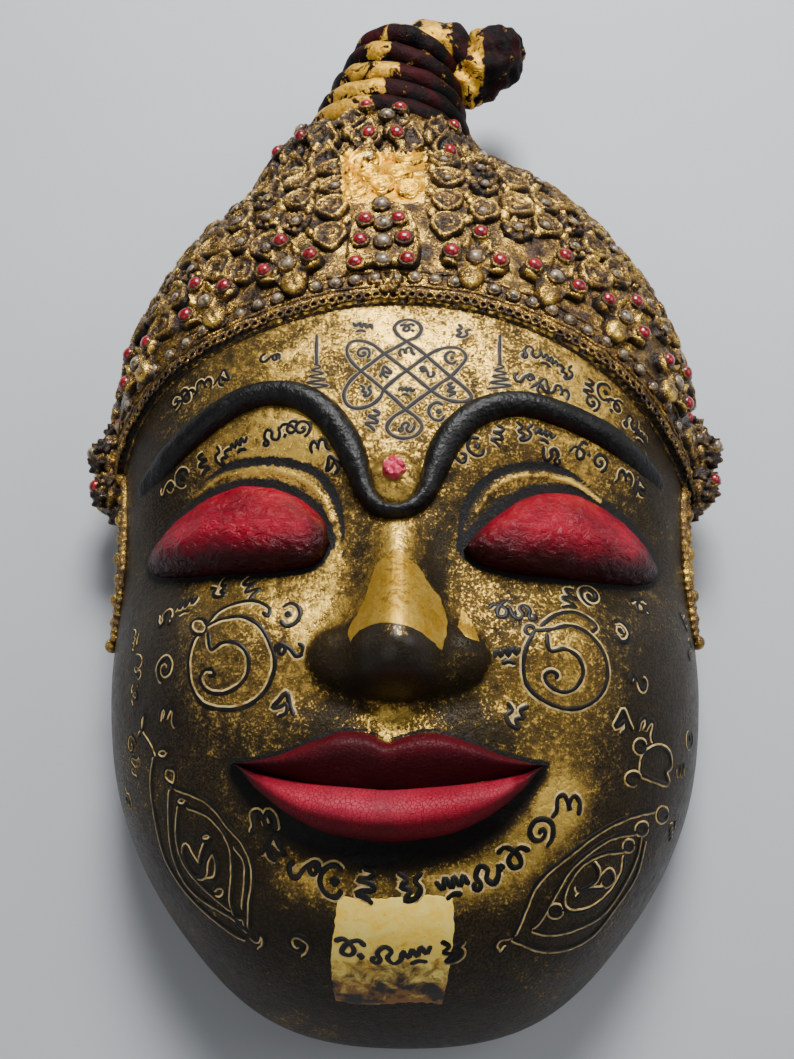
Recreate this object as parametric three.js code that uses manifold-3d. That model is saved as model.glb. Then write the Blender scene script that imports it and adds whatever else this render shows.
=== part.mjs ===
import * as THREE from 'three';
import { mergeVertices } from 'three/addons/utils/BufferGeometryUtils.js';
import Module from 'manifold-3d';

// Sizes in millimetres. The mask lies on its flat back rim:
// x runs to the viewer's right, y towards the crown, z up out of the face.
const shiftY = 5.27;
const domeMid = -50;
// radius of the rim every fifteen degrees, from under the chin round the side to the crown
const rimRadii = [186, 184, 169, 153, 136, 123.5, 121, 128, 145, 163, 181, 198, 205];
// height of the plain dome along the middle line
const midHeights = [[-240, 101], [-100, 101], [-40, 101], [0, 100], [26, 98], [77, 97], [110, 96], [155, 92]];
const domeFullSide = 2.35;
const domeFullEnd = 3.45;
const domeRound = 2.4;
const wall = 15;
const wallTop = 17;

// brow roll, from its left end round under the forehead mark to its right end
const browPoints = [
  [-104, -37], [-85, -23], [-69, -13], [-50, -8], [-38, -10], [-26, -19], [-18, -32], [-13, -47], [-8, -56],
  [-1, -59.5], [6, -56], [11, -42], [18, -29], [29, -20], [44, -16], [61, -17], [76, -22], [89, -28], [103, -37],
];
const browHeight = 4.2;
const browHalf = 5.2;

// closed lids, each by its inner and outer corner, with the edges as shares of the lid's length
const lids = [
  { inner: [-24, -70], outer: [-94, -66] },
  { inner: [23, -75], outer: [91, -72] },
];
const lidTop = [[0, 0], [0.08, 9], [0.2, 17], [0.36, 22], [0.55, 20], [0.75, 13], [0.92, 4], [1, 0]];
const lidLow = [[0, 0], [0.05, -5], [0.14, -9.5], [0.35, -11], [0.6, -10.5], [0.82, -7], [1, 0]];
const lidHeight = 15;
const socketDepth = 6.5;

const noseRise = [
  [-131, 0], [-128, 3], [-124, 15], [-118, 24], [-112, 26.5], [-104, 23], [-92, 16], [-80, 10], [-68, 5], [-56, 0],
];
const noseHalf = [[-131, 15], [-120, 17], [-110, 16.5], [-95, 12], [-80, 9], [-56, 8]];
const wingOut = 19.5;
const wingY = -113;
const wingHeight = 15;

const mouthMid = -3.5;
const mouthHalf = 51;
const lipTop = [
  [-1, -144], [-0.72, -142.5], [-0.45, -138], [-0.24, -135], [-0.1, -136], [0, -138.5],
  [0.1, -137], [0.26, -135.5], [0.5, -138.5], [0.75, -143], [1, -145],
];
const lipLine = [
  [-1, -144], [-0.8, -147.5], [-0.5, -151.5], [-0.2, -153.5], [0, -154.5],
  [0.25, -153.5], [0.55, -151.5], [0.82, -148], [1, -145],
];
const lipLow = [
  [-1, -144], [-0.82, -152], [-0.6, -160], [-0.35, -165.5], [0, -168],
  [0.35, -166], [0.6, -161], [0.82, -153], [1, -145],
];

// hairline of the moulded crown, as y against x; past its ends it runs down the side walls
const hairline = [
  [-124, -26], [-118, -22], [-107, -10], [-92, 1], [-74, 10], [-55, 19], [-34, 26], [-19, 29.5], [-4, 31],
  [12, 30], [31, 26], [49, 19], [66, 10], [82, 0], [96, -11], [108, -22], [118, -32],
];
const crownThick = 2.6;
const cordRadius = 2.1;

const redSize = 3;
const clearSize = 3.3;
const stoneHeight = 1.9;
const plateTop = 3.2;
const plateFoot = -3;
const stoneGap = 0.3;
const smallestEdge = 0.08;

const woodColour = 0x6f5a2e;
const redColour = 0xa5142a;
const clearColour = 0x8d8a7c;

const lerp = (a, b, t) => a + (b - a) * t;
const clamp = (v, a, b) => Math.min(b, Math.max(a, v));

function smoothStep(a, b, t) {
  const u = clamp((t - a) / (b - a), 0, 1);
  return u * u * (3 - 2 * u);
}

// smooth curve through [t, value] points that never overshoots them
function curveAt(points, t) {
  const n = points.length;
  const x = clamp(t, points[0][0], points[n - 1][0]);
  let i = 0;
  while (i < n - 2 && x > points[i + 1][0]) i += 1;
  const slope = (k) => (points[k + 1][1] - points[k][1]) / (points[k + 1][0] - points[k][0]);
  const tangent = (k) => {
    if (k === 0 || k === n - 1) return 0;
    const a = slope(k - 1);
    const b = slope(k);
    return a * b <= 0 ? 0 : (2 * a * b) / (a + b);
  };
  const h = points[i + 1][0] - points[i][0];
  const u = (x - points[i][0]) / h;
  return points[i][1] * (1 + 2 * u) * (1 - u) ** 2 + tangent(i) * h * u * (1 - u) ** 2
    + points[i + 1][1] * u * u * (3 - 2 * u) + tangent(i + 1) * h * u * u * (u - 1);
}

function throughFour(p0, p1, p2, p3, f) {
  return 0.5 * (2 * p1 + (p2 - p0) * f + (2 * p0 - 5 * p1 + 4 * p2 - p3) * f * f
    + (3 * p1 - p0 - 3 * p2 + p3) * f ** 3);
}

function smoothPath(points, steps) {
  const n = points.length;
  const at = (k) => {
    if (k < 0) return points[0].map((v, j) => 2 * v - points[1][j]);
    if (k >= n) return points[n - 1].map((v, j) => 2 * v - points[n - 2][j]);
    return points[k];
  };
  const path = [];
  for (let k = 0; k < n - 1; k += 1) {
    for (let s = 0; s < steps; s += 1) {
      path.push(points[k].map((_, j) => throughFour(at(k - 1)[j], at(k)[j], at(k + 1)[j], at(k + 2)[j], s / steps)));
    }
  }
  path.push(points[n - 1]);
  return path;
}

// distance from a path, and how far along it the nearest place is as a share of its length
function pathDistance(path, x, y) {
  let best = Infinity;
  let where = 0;
  let run = 0;
  for (let k = 0; k < path.length - 1; k += 1) {
    const [ax, ay] = path[k];
    const [bx, by] = path[k + 1];
    const len = Math.hypot(bx - ax, by - ay);
    const t = clamp(((x - ax) * (bx - ax) + (y - ay) * (by - ay)) / (len * len), 0, 1);
    const d = Math.hypot(x - ax - t * (bx - ax), y - ay - t * (by - ay));
    if (d < best) {
      best = d;
      where = run + t * len;
    }
    run += len;
  }
  return { distance: best, share: where / run };
}

function rimRadius(theta) {
  const degrees = (Math.asin(clamp(Math.sin(theta), -1, 1)) * 180) / Math.PI;
  const u = (degrees + 90) / 15;
  const i = clamp(Math.floor(u), 0, 11);
  const at = (k) => rimRadii[k < 0 ? -k : k > 12 ? 24 - k : k];
  return throughFour(at(i - 1), at(i), at(i + 1), at(i + 2), u - i);
}

function domeHeight(share, theta, y) {
  const power = lerp(domeFullSide, domeFullEnd, Math.sin(theta) ** 2);
  return curveAt(midHeights, y) * Math.max(0, 1 - share ** power) ** (1 / domeRound);
}

function domePoint(share, theta) {
  const r = rimRadius(theta) * share;
  const x = r * Math.cos(theta);
  const y = domeMid + r * Math.sin(theta);
  return new THREE.Vector3(x, y, domeHeight(share, theta, y));
}

// outward direction of the plain dome; the share is kept off the exact rim and middle
function domeNormal(share, theta) {
  const s = clamp(share, 0.02, 0.985);
  const along = domePoint(s + 0.005, theta).sub(domePoint(s - 0.005, theta));
  const round = domePoint(s, theta + 0.01).sub(domePoint(s, theta - 0.01));
  return along.cross(round).normalize();
}

// hollow round each eye
function socket(lid, x, y) {
  const r = Math.hypot((x - (lid.inner[0] + lid.outer[0]) / 2) / 44, (y - (lid.inner[1] + lid.outer[1]) / 2 - 4) / 30);
  return -socketDepth * Math.exp(-(r ** 4));
}

function nose(x, y) {
  const ridge = curveAt(noseRise, y) * Math.exp(-(Math.abs(x / curveAt(noseHalf, y)) ** 2.3));
  const q = 1 - ((Math.abs(x) - wingOut) / 12.5) ** 2 - ((y - wingY) / 13) ** 2;
  const wings = wingHeight * Math.sqrt(Math.max(0, q));
  const blend = 3;
  const h = clamp(0.5 + (0.5 * (ridge - wings)) / blend, 0, 1);
  return lerp(wings, ridge, h) + blend * h * (1 - h);
}

// soft rise that carries both lips, with a hollow under the lower one
function mouthMound(x, y) {
  const rise = 5 * Math.exp(-(((x - mouthMid) / 46) ** 4) - ((y + 150) / 22) ** 4);
  return rise - 2 * Math.exp(-(((x - mouthMid) / 36) ** 4) - ((y + 173) / 5) ** 2);
}

function mound(x, y, cx, cy, rx, ry, height) {
  return height * Math.exp(-(((x - cx) / rx) ** 2) - ((y - cy) / ry) ** 2);
}

function faceRise(x, y) {
  const chin = mound(x, y, 0, -192, 34, 20, 6);
  const cheeks = mound(x, y, -60, -108, 26, 26, 4.5) + mound(x, y, 60, -108, 26, 26, 4.5);
  const forehead = mound(x, y, 0, 5, 60, 28, 2.5);
  const groove = mound(x, y, -1, -131, 5, 5, -1.2);
  return socket(lids[0], x, y) + socket(lids[1], x, y) + nose(x, y) + mouthMound(x, y)
    + chin + cheeks + forehead + groove;
}

// the moulded lappets along the hairline: the middle of each
const lappets = [[-104, 20], [-76, 37], [-45, 48], [31, 49], [61, 42], [86, 29], [107, 10]];

function crownRise(x, y) {
  return crownThick * smoothStep(-1.5, 1.5, y - curveAt(hairline, x));
}

// point of the carved front: the dome, moved straight up by the face and outwards by the crown work
function frontPoint(share, theta) {
  const p = domePoint(share, theta);
  const { x, y } = p;
  const fade = 1 - smoothStep(0.9, 1, share);
  p.z += fade * faceRise(x, y);
  const normal = domeNormal(share, theta);
  if (share >= 1) normal.set(normal.x, normal.y, 0).normalize();
  p.addScaledVector(normal, crownRise(x, y));
  return p;
}

function frontShare(x, y) {
  const theta = Math.atan2(y - domeMid, x);
  return { theta, share: Math.min(0.97, Math.hypot(x, y - domeMid) / rimRadius(theta)) };
}

function frontHeight(x, y) {
  const { theta, share } = frontShare(x, y);
  return domeHeight(share, theta, y) + faceRise(x, y);
}

// a place on the front with its outward, sideways and crownward directions, turned about the outward one
function frontFrame(x, y, turn = 0) {
  const { theta, share } = frontShare(x, y);
  const normal = domeNormal(share, theta);
  const across = new THREE.Vector3(Math.cos(turn), Math.sin(turn), 0);
  across.addScaledVector(normal, -across.dot(normal)).normalize();
  return { point: frontPoint(share, theta), normal, across, up: normal.clone().cross(across) };
}

// point of a frame at sideways, crownward and outward distances
function inFrame(frame, a, b, height) {
  return frame.point.clone()
    .addScaledVector(frame.across, a)
    .addScaledVector(frame.up, b)
    .addScaledVector(frame.normal, height);
}

// cell borders from stations and the number of cells between them
function spread(stations, counts) {
  const lines = [stations[0]];
  counts.forEach((count, k) => {
    for (let s = 1; s <= count; s += 1) lines.push(lerp(stations[k], stations[k + 1], s / count));
  });
  return lines;
}

// a square net of cells laid over a round plan; lines run from -1 to 1 both ways
function discNet(across, down, pointAt) {
  const columns = across.length;
  const rows = down.length;
  const points = [];
  for (const b of down) {
    for (const a of across) {
      const u = a * Math.sqrt(1 - (b * b) / 2);
      const v = b * Math.sqrt(1 - (a * a) / 2);
      const edge = Math.abs(a) === 1 || Math.abs(b) === 1;
      points.push(pointAt(edge ? 1 : Math.hypot(u, v), Math.atan2(v, u), edge));
    }
  }
  const faces = [];
  for (let r = 0; r < rows - 1; r += 1) {
    for (let c = 0; c < columns - 1; c += 1) {
      const p = r * columns + c;
      const q = p + columns;
      const lowLeft = (r < rows / 2) === (c < columns / 2);
      if (lowLeft) faces.push([p, p + 1, q + 1], [p, q + 1, q]);
      else faces.push([p, p + 1, q], [p + 1, q + 1, q]);
    }
  }
  return { points, faces, border: netBorder(columns, rows) };
}

function netBorder(columns, rows) {
  const ring = [];
  for (let c = 0; c < columns - 1; c += 1) ring.push(c);
  for (let r = 0; r < rows - 1; r += 1) ring.push(r * columns + columns - 1);
  for (let c = columns - 1; c > 0; c -= 1) ring.push((rows - 1) * columns + c);
  for (let r = rows - 1; r > 0; r -= 1) ring.push(r * columns);
  return ring;
}

// closes a net by a flat floor fanned from one middle point
function closeNet(net, middle) {
  const points = [...net.points, middle];
  const last = points.length - 1;
  const faces = [...net.faces];
  net.border.forEach((p, k) => faces.push([net.border[(k + 1) % net.border.length], p, last]));
  return { points, faces };
}

const roundOut = (s) => Math.sin((s * Math.PI) / 2) ** 0.95;
const netLine = (mm, reach) => Math.sign(mm) * ((Math.asin((Math.abs(mm) / reach) ** (1 / 0.95)) * 2) / Math.PI);

function frontSolid() {
  const side = spread([0, 33, 97, 121], [6, 7, 4]).map((v) => netLine(v, 121));
  const across = [...side.slice(1).reverse().map((v) => -v), ...side];
  const chinward = spread([0, 35, 83, 121, 156, 186], [5, 9, 4, 4, 3]).map((v) => -netLine(v, 186));
  const crownward = spread([0, 9, 47, 78, 92, 165, 205], [1, 4, 2, 3, 6, 4]).map((v) => netLine(v, 205));
  const down = [...chinward.slice(1).reverse(), ...crownward];
  across[0] = -1;
  across[across.length - 1] = 1;
  down[0] = -1;
  down[down.length - 1] = 1;
  const net = discNet(across, down, (s, theta) => {
    const p = frontPoint(s === 1 ? 1 : roundOut(s), theta);
    if (s === 1) p.z = 0;
    return p;
  });
  return closeNet(net, new THREE.Vector3(0, domeMid, 0));
}

// the room behind the face, carried a little below the rim plane so that it opens there
function hollowSolid() {
  const across = spread([-1, 1], [12]);
  const down = spread([-1, 1], [14]);
  const net = discNet(across, down, (s, theta) => {
    const share = s === 1 ? 1 : roundOut(s);
    const outer = rimRadius(theta);
    const r = (outer - wall) * share;
    const x = r * Math.cos(theta);
    const y = domeMid + r * Math.sin(theta);
    const z = (domeHeight(share, theta, y) * (101 - wallTop)) / 101;
    return new THREE.Vector3(x, y, s === 1 ? -3 : z);
  });
  return closeNet(net, new THREE.Vector3(0, domeMid, -3));
}

// rings of points closed by a fan at each end
function ringSolid(rings, first, last) {
  const count = rings[0].length;
  const points = [first, ...rings.flat(), last];
  const faces = [];
  for (let k = 0; k < rings.length - 1; k += 1) {
    for (let j = 0; j < count; j += 1) {
      const a = 1 + k * count + j;
      const b = 1 + k * count + ((j + 1) % count);
      faces.push([a, b, b + count], [a, b + count, a + count]);
    }
  }
  const end = points.length - 1;
  for (let j = 0; j < count; j += 1) {
    const next = (j + 1) % count;
    faces.push([0, 1 + next, 1 + j]);
    faces.push([end, end - count + j, end - count + next]);
  }
  return { points, faces };
}

// the wound topknot: an ornament collar, then five slanting rolls on a leaning cone
const collarStations = [[0, 57, 42, 0], [0.1, 57, 42, 0], [0.2, 55, 41, 0], [0.3, 49, 38, 0], [0.36, 43, 36, 0]];
const rollCount = 5;
const knotStart = new THREE.Vector3(-13, 112, 35);
const knotEnd = new THREE.Vector3(3, 207, 44);
const rollTilt = 0.2;

function knotRing(t, rx, rz, sides, slant) {
  const middle = knotStart.clone().lerp(knotEnd, t);
  return Array.from({ length: sides }, (_, j) => {
    const angle = (j / sides) * 2 * Math.PI;
    const x = Math.cos(angle) * rx;
    return new THREE.Vector3(middle.x + x, middle.y - x * slant, middle.z - Math.sin(angle) * rz);
  });
}

function topknotSolid() {
  const sides = 16;
  const rings = collarStations.map(([t, rx, rz]) => knotRing(t, rx, rz, sides, 0.06));
  for (let roll = 0; roll < rollCount; roll += 1) {
    for (const [part, swell] of [[0.06, -2.2], [0.45, 1.2], [0.92, -1.2]]) {
      const u = (roll + part) / rollCount;
      const rx = lerp(41, 24, u) + swell;
      const rz = lerp(34, 23, u) + swell;
      rings.push(knotRing(lerp(0.38, 1, u), rx, rz, sides, rollTilt));
    }
  }
  const top = knotStart.clone().lerp(knotEnd, 1.05);
  return ringSolid(rings, knotRing(0, 0, 0, 1, 0)[0], top);
}

// swept lump with a radius at each station
function lumpSolid(stations, sides) {
  const middles = stations.map(([x, y, z]) => new THREE.Vector3(x, y, z));
  const rings = stations.slice(1, -1).map(([, , , radius], k) => {
    const along = middles[k + 2].clone().sub(middles[k]).normalize();
    const across = new THREE.Vector3(0, 0, 1).cross(along).normalize();
    const up = along.clone().cross(across);
    return Array.from({ length: sides }, (_, j) => {
      const angle = (j / sides) * 2 * Math.PI;
      return middles[k + 1].clone()
        .addScaledVector(across, Math.cos(angle) * radius)
        .addScaledVector(up, Math.sin(angle) * radius);
    });
  });
  return ringSolid(rings, middles[0], middles[middles.length - 1]);
}

// the folded end of the hair: one fold over the top and one thick tail to the right
const foldStations = [
  [-12, 196, 44, 0], [-6, 199, 46, 9], [4, 207, 48, 14], [16, 211, 49, 14.5], [28, 205, 48, 13], [36, 196, 46, 8], [38, 190, 45, 0],
];
const tailStations = [
  [30, 172, 42, 0], [33, 176, 43, 9], [37, 186, 45, 15], [43, 197, 47, 17.5], [46, 208, 48, 15], [45, 218, 48, 8], [44, 222, 48, 0],
];

// lumpy rosette at each temple, where an ear would be
const earLumps = [[118, 0, 36, 12], [125, -9, 36, 11], [122, -24, 35, 11], [117, -31, 32, 8]];

function ballSolid([x, y, z, radius], sides, bands) {
  const rings = [];
  for (let k = 1; k < bands; k += 1) {
    const fall = (k / bands) * Math.PI;
    rings.push(Array.from({ length: sides }, (_, j) => {
      const angle = -(j / sides) * 2 * Math.PI;
      return new THREE.Vector3(
        x + Math.cos(angle) * Math.sin(fall) * radius,
        y + Math.sin(angle) * Math.sin(fall) * radius,
        z + Math.cos(fall) * radius,
      );
    }));
  }
  return ringSolid(rings, new THREE.Vector3(x, y, z + radius), new THREE.Vector3(x, y, z - radius));
}

// flat plate of a given outline standing on a frame, a little wider at its foot
function plateSolid(frame, outline, from, to) {
  const foot = outline.map(([a, b]) => inFrame(frame, a * 1.06, b * 1.06, from));
  const head = outline.map(([a, b]) => inFrame(frame, a, b, to));
  return ringSolid([foot, head], inFrame(frame, 0, 0, from), inFrame(frame, 0, 0, to));
}

function roundOutline(radius, sides) {
  return Array.from({ length: sides }, (_, j) => {
    const angle = (j / sides) * 2 * Math.PI;
    return [Math.cos(angle) * radius, Math.sin(angle) * radius];
  });
}

// the raised black roll over the eyes
function browSolid() {
  const path = smoothPath(browPoints, 2);
  const sides = 7;
  const rings = path.slice(1, -1).map(([x, y], k) => {
    const share = (k + 1) / (path.length - 1);
    const ends = smoothStep(0, 0.2, Math.min(share, 1 - share));
    const [ax, ay] = path[k];
    const [bx, by] = path[k + 2];
    const len = Math.hypot(bx - ax, by - ay);
    const half = 1.4 + (browHalf - 1.4) * ends;
    const tall = 1 + (browHeight + 0.4) * ends;
    const z = frontHeight(x, y) - 0.4;
    return Array.from({ length: sides }, (_, j) => {
      const angle = (j / sides) * 2 * Math.PI + Math.PI / 2;
      const out = Math.cos(angle) * half;
      return new THREE.Vector3(x + (out * (by - ay)) / len, y - (out * (bx - ax)) / len, z - Math.sin(angle) * tall);
    });
  });
  const end = ([x, y]) => new THREE.Vector3(x, y, frontHeight(x, y) - 0.6);
  return ringSolid(rings, end(path[0]), end(path[path.length - 1]));
}

// bulging strip between two edge curves over a slanted base line, sunk a little into the face
function bulgeSolid({ stations, placeAt, topAt, lowAt, riseAt }) {
  const shares = [0, 0.06, 0.2, 0.42, 0.66, 0.86, 1];
  const sink = 5;
  const rings = stations.map((s) => {
    const low = lowAt(s);
    const top = topAt(s);
    const edge = shares.map((v) => {
      const [x, y] = placeAt(s, lerp(low, top, v));
      return new THREE.Vector3(x, y, frontHeight(x, y) + riseAt(s, v));
    });
    const under = [edge[6].clone(), edge[0].clone()];
    under.forEach((p) => { p.z -= sink; });
    return [...edge, ...under].reverse();
  });
  const middleOf = (ring) => ring.reduce((sum, p) => sum.add(p), new THREE.Vector3()).multiplyScalar(1 / ring.length);
  return ringSolid(rings, middleOf(rings[0]), middleOf(rings[rings.length - 1]));
}

function lidSolid({ inner, outer }) {
  const sign = Math.sign(outer[0] - inner[0]);
  const len = Math.hypot(outer[0] - inner[0], outer[1] - inner[1]);
  const ux = (outer[0] - inner[0]) / len;
  const uy = (outer[1] - inner[1]) / len;
  const stations = [0.015, 0.06, 0.14, 0.24, 0.36, 0.5, 0.64, 0.78, 0.9, 0.97];
  return bulgeSolid({
    stations: sign > 0 ? stations : [...stations].reverse(),
    placeAt: (s, n) => [inner[0] + ux * s * len - uy * n * sign, inner[1] + uy * s * len + ux * n * sign],
    topAt: (s) => curveAt(lidTop, s),
    lowAt: (s) => curveAt(lidLow, s),
    riseAt: (s, v) => lidHeight * Math.min(1, 4 * s * (1 - s)) ** 0.42 * Math.max(0, Math.sin(Math.PI * v ** 0.8)) ** 0.62,
  });
}

function lipSolid(topCurve, lowCurve, height) {
  return bulgeSolid({
    stations: [-0.975, -0.88, -0.72, -0.54, -0.36, -0.2, -0.08, 0.02, 0.14, 0.26, 0.42, 0.6, 0.78, 0.9, 0.975],
    placeAt: (s, y) => [mouthMid + s * mouthHalf, y],
    topAt: (s) => curveAt(topCurve, s),
    lowAt: (s) => curveAt(lowCurve, s),
    riseAt: (s, v) => height * Math.sqrt(1 - s * s) * Math.max(0, Math.sin(Math.PI * v)) ** 0.6,
  });
}

// chain cord that borders the moulded crown
function cordSolid() {
  const path = smoothPath(hairline.map(([x, y]) => [x, y - 1]), 2).filter(([x]) => Math.abs(x) < 117);
  const spots = path.map(([x, y]) => frontFrame(x, y + 1.8));
  const sides = 6;
  const rings = spots.slice(1, -1).map((spot, k) => {
    const along = spots[k + 2].point.clone().sub(spots[k].point).normalize();
    const across = along.clone().cross(spot.normal).normalize();
    return Array.from({ length: sides }, (_, j) => {
      const angle = (j / sides) * 2 * Math.PI;
      return spot.point.clone()
        .addScaledVector(across, Math.cos(angle) * cordRadius)
        .addScaledVector(spot.normal, -Math.sin(angle) * cordRadius);
    });
  });
  return ringSolid(rings, spots[0].point, spots[spots.length - 1].point);
}

// raised strip down each side wall, in front of the ear rosettes
function sideStripSolid(sign) {
  const stations = [[-24, 40], [-40, 41], [-58, 41], [-76, 39], [-92, 36]];
  const rings = stations.map(([y, z]) => {
    const theta = Math.atan2(y - domeMid, 121);
    const share = wallShare(theta, z, y);
    const p = domePoint(share, theta);
    const n = domeNormal(share, theta);
    const mirror = (v) => new THREE.Vector3(sign * v.x, v.y, v.z);
    const drop = new THREE.Vector3(-n.z, 0, n.x).multiplyScalar(3.4);
    return [
      mirror(p.clone().addScaledVector(n, 1.8).add(drop)),
      mirror(p.clone().addScaledVector(n, 1.8).sub(drop)),
      mirror(p.clone().addScaledVector(n, -3).sub(drop)),
      mirror(p.clone().addScaledVector(n, -3).add(drop)),
    ];
  });
  const middleOf = (ring) => ring.reduce((sum, v) => sum.add(v), new THREE.Vector3()).multiplyScalar(0.25);
  const solid = ringSolid(rings, middleOf(rings[0]), middleOf(rings[rings.length - 1]));
  if (sign > 0) solid.faces = solid.faces.map(([a, b, c]) => [a, c, b]);
  return solid;
}

// how far out towards the rim the dome has the asked height
function wallShare(theta, z, y) {
  let low = 0.5;
  let high = 1;
  for (let k = 0; k < 30; k += 1) {
    const middle = (low + high) / 2;
    if (domeHeight(middle, theta, y) > z) low = middle;
    else high = middle;
  }
  return low;
}

const wasm = await Module();
wasm.setup();

function toManifold({ points, faces }) {
  const vertProperties = new Float32Array(points.flatMap((p) => [p.x, p.y, p.z]));
  const triVerts = new Uint32Array(faces.flat());
  return new wasm.Manifold(new wasm.Mesh({ numProp: 3, vertProperties, triVerts }));
}

function toGeometry(solid) {
  const { vertProperties, numProp, triVerts } = solid.getMesh();
  const positions = [];
  for (let k = 0; k < vertProperties.length; k += numProp) positions.push(...vertProperties.slice(k, k + 3));
  const geometry = new THREE.BufferGeometry();
  geometry.setAttribute('position', new THREE.Float32BufferAttribute(positions, 3));
  geometry.setIndex([...triVerts]);
  return geometry;
}

const lappetOutline = [
  [0, -17], [5, -12], [7, -6], [13, -5], [15, 1], [12.5, 7], [6.5, 9], [6, 16], [0, 21],
  [-6, 16], [-6.5, 9], [-12.5, 7], [-15, 1], [-13, -5], [-7, -6], [-5, -12],
];
const columnOutline = [
  [0, -17], [14, -18], [16, -6], [14, 6], [9, 18], [0, 24], [-9, 18], [-14, 6], [-16, -6], [-14, -18],
];

// plates of the crown work, each with the stones set on it as [kind, sideways, crownward]
function listPlates() {
  const plates = [];
  lappets.forEach(([x, y], k) => {
    plates.push({
      name: `lappet_${k + 1}`,
      frame: frontFrame(x, y, Math.atan2(-x, 150)),
      outline: lappetOutline,
      stones: [['clear', 0, 1], ['red', 0, 14.5], ['red', -9.5, 1.5], ['red', 9.5, 1.5]],
    });
  });
  plates.push({
    name: 'crown_middle',
    frame: frontFrame(-5, 63),
    outline: columnOutline,
    stones: [
      ['clear', 0, -14], ['clear', 0, -4], ['clear', 0, 6], ['clear', -1, 17],
      ['red', -10.5, -14], ['red', 10, -13], ['red', -9.5, -2], ['red', 9.5, -2], ['red', -8, 9], ['red', 7.5, 9],
    ],
  });
  for (const [name, angle, stones] of collarPlates) {
    plates.push({ name, frame: collarFrame(angle), outline: roundOutline(12.5, 9), stones });
  }
  plates.push({ name: 'forehead', frame: frontFrame(-1.5, -46), outline: roundOutline(10, 10), stones: [['mark', -0.5, 1]] });
  return plates;
}

// where the topknot's collar faces: nought degrees is to the right and ninety straight up
const collarPlates = [
  ['collar_left', 142, [['red', -6, 3], ['red', 2, -6], ['clear', 3, 4]]],
  ['collar_middle', 92, [['clear', 0, 3], ['red', -6, 8], ['red', 6, 8], ['red', -5, -6], ['red', 5, -6]]],
  ['collar_right', 42, [['red', -5, -1], ['red', 5, 6], ['clear', 4, -3]]],
];

function collarFrame(degrees) {
  const angle = (degrees * Math.PI) / 180;
  const middle = knotStart.clone().lerp(knotEnd, 0.26);
  const normal = new THREE.Vector3(Math.cos(angle) * 0.8, 0.42, Math.sin(angle)).normalize();
  const across = new THREE.Vector3(0, 1, 0).cross(normal).normalize();
  const point = middle.add(new THREE.Vector3(Math.cos(angle) * 50, 0, Math.sin(angle) * 38));
  return { point, normal, across, up: normal.clone().cross(across) };
}

// rows of rosettes on the crown above the lappets, by share of the way out and angle
function rosetteFrames() {
  const frames = [];
  for (const [share, from, to, step] of [[0.73, 30, 150, 15], [0.86, 22, 158, 17]]) {
    for (let degrees = from; degrees <= to; degrees += step) {
      if (Math.abs(degrees - 90) < 10) continue;
      const theta = (degrees * Math.PI) / 180;
      const r = rimRadius(theta) * share;
      frames.push(frontFrame(r * Math.cos(theta), domeMid + r * Math.sin(theta)));
    }
  }
  return frames;
}

// everything below the table plane
function floorBlock() {
  const geometry = new THREE.BoxGeometry(500, 700, 90);
  geometry.deleteAttribute('normal');
  geometry.deleteAttribute('uv');
  const merged = mergeVertices(geometry.translate(0, 0, -45));
  const at = merged.getAttribute('position');
  const points = Array.from({ length: at.count }, (_, k) => new THREE.Vector3().fromBufferAttribute(at, k));
  const index = [...merged.getIndex().array];
  const faces = [];
  for (let k = 0; k < index.length; k += 3) faces.push(index.slice(k, k + 3));
  return { points, faces };
}

function bodySolid(plates) {
  const joined = [topknotSolid(), lumpSolid(foldStations, 12), lumpSolid(tailStations, 12), cordSolid()];
  joined.push(browSolid(), ...lids.map(lidSolid), lipSolid(lipTop, lipLine, 8), lipSolid(lipLine, lipLow, 9.5));
  for (const sign of [-1, 1]) {
    joined.push(sideStripSolid(sign));
    for (const [x, y, z, radius] of earLumps) joined.push(ballSolid([sign * x, y, z, radius], 10, 6));
  }
  for (const { frame, outline } of plates) joined.push(plateSolid(frame, outline, plateFoot, plateTop));
  for (const frame of rosetteFrames()) joined.push(plateSolid(frame, roundOutline(6.5, 7), plateFoot, 2));
  let body = toManifold(frontSolid());
  for (const solid of joined) body = body.add(toManifold(solid));
  return body.subtract(toManifold(floorBlock())).subtract(toManifold(hollowSolid())).simplify(smallestEdge);
}

const mask = new THREE.Group();

function addPiece(name, geometry, colour, roughness, metalness) {
  const piece = new THREE.Mesh(geometry, new THREE.MeshStandardMaterial({ color: colour, roughness, metalness }));
  piece.name = name;
  piece.position.y = shiftY;
  mask.add(piece);
  return piece;
}

const plates = listPlates();
addPiece('mask_body', toGeometry(bodySolid(plates)), woodColour, 0.55, 0.3);

const stoneKinds = {
  red: { size: redSize, colour: redColour },
  clear: { size: clearSize, colour: clearColour },
  mark: { size: 5, colour: redColour },
};

for (const plate of plates) {
  plate.stones.forEach(([kind, a, b], k) => {
    const { size, colour } = stoneKinds[kind];
    const geometry = new THREE.CylinderGeometry(size * 0.6, size, stoneHeight, 6);
    geometry.rotateX(Math.PI / 2);
    const piece = addPiece(`${plate.name}_stone_${k + 1}`, geometry, colour, 0.2, 0);
    piece.position.add(inFrame(plate.frame, a, b, plateTop + stoneGap + stoneHeight / 2));
    piece.quaternion.setFromUnitVectors(new THREE.Vector3(0, 0, 1), plate.frame.normal);
  });
}

export default mask;
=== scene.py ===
import math
import random
from contextlib import contextmanager
import bpy
import numpy as np
from mathutils import Matrix, Vector, noise
from mathutils.bvhtree import BVHTree


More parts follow.
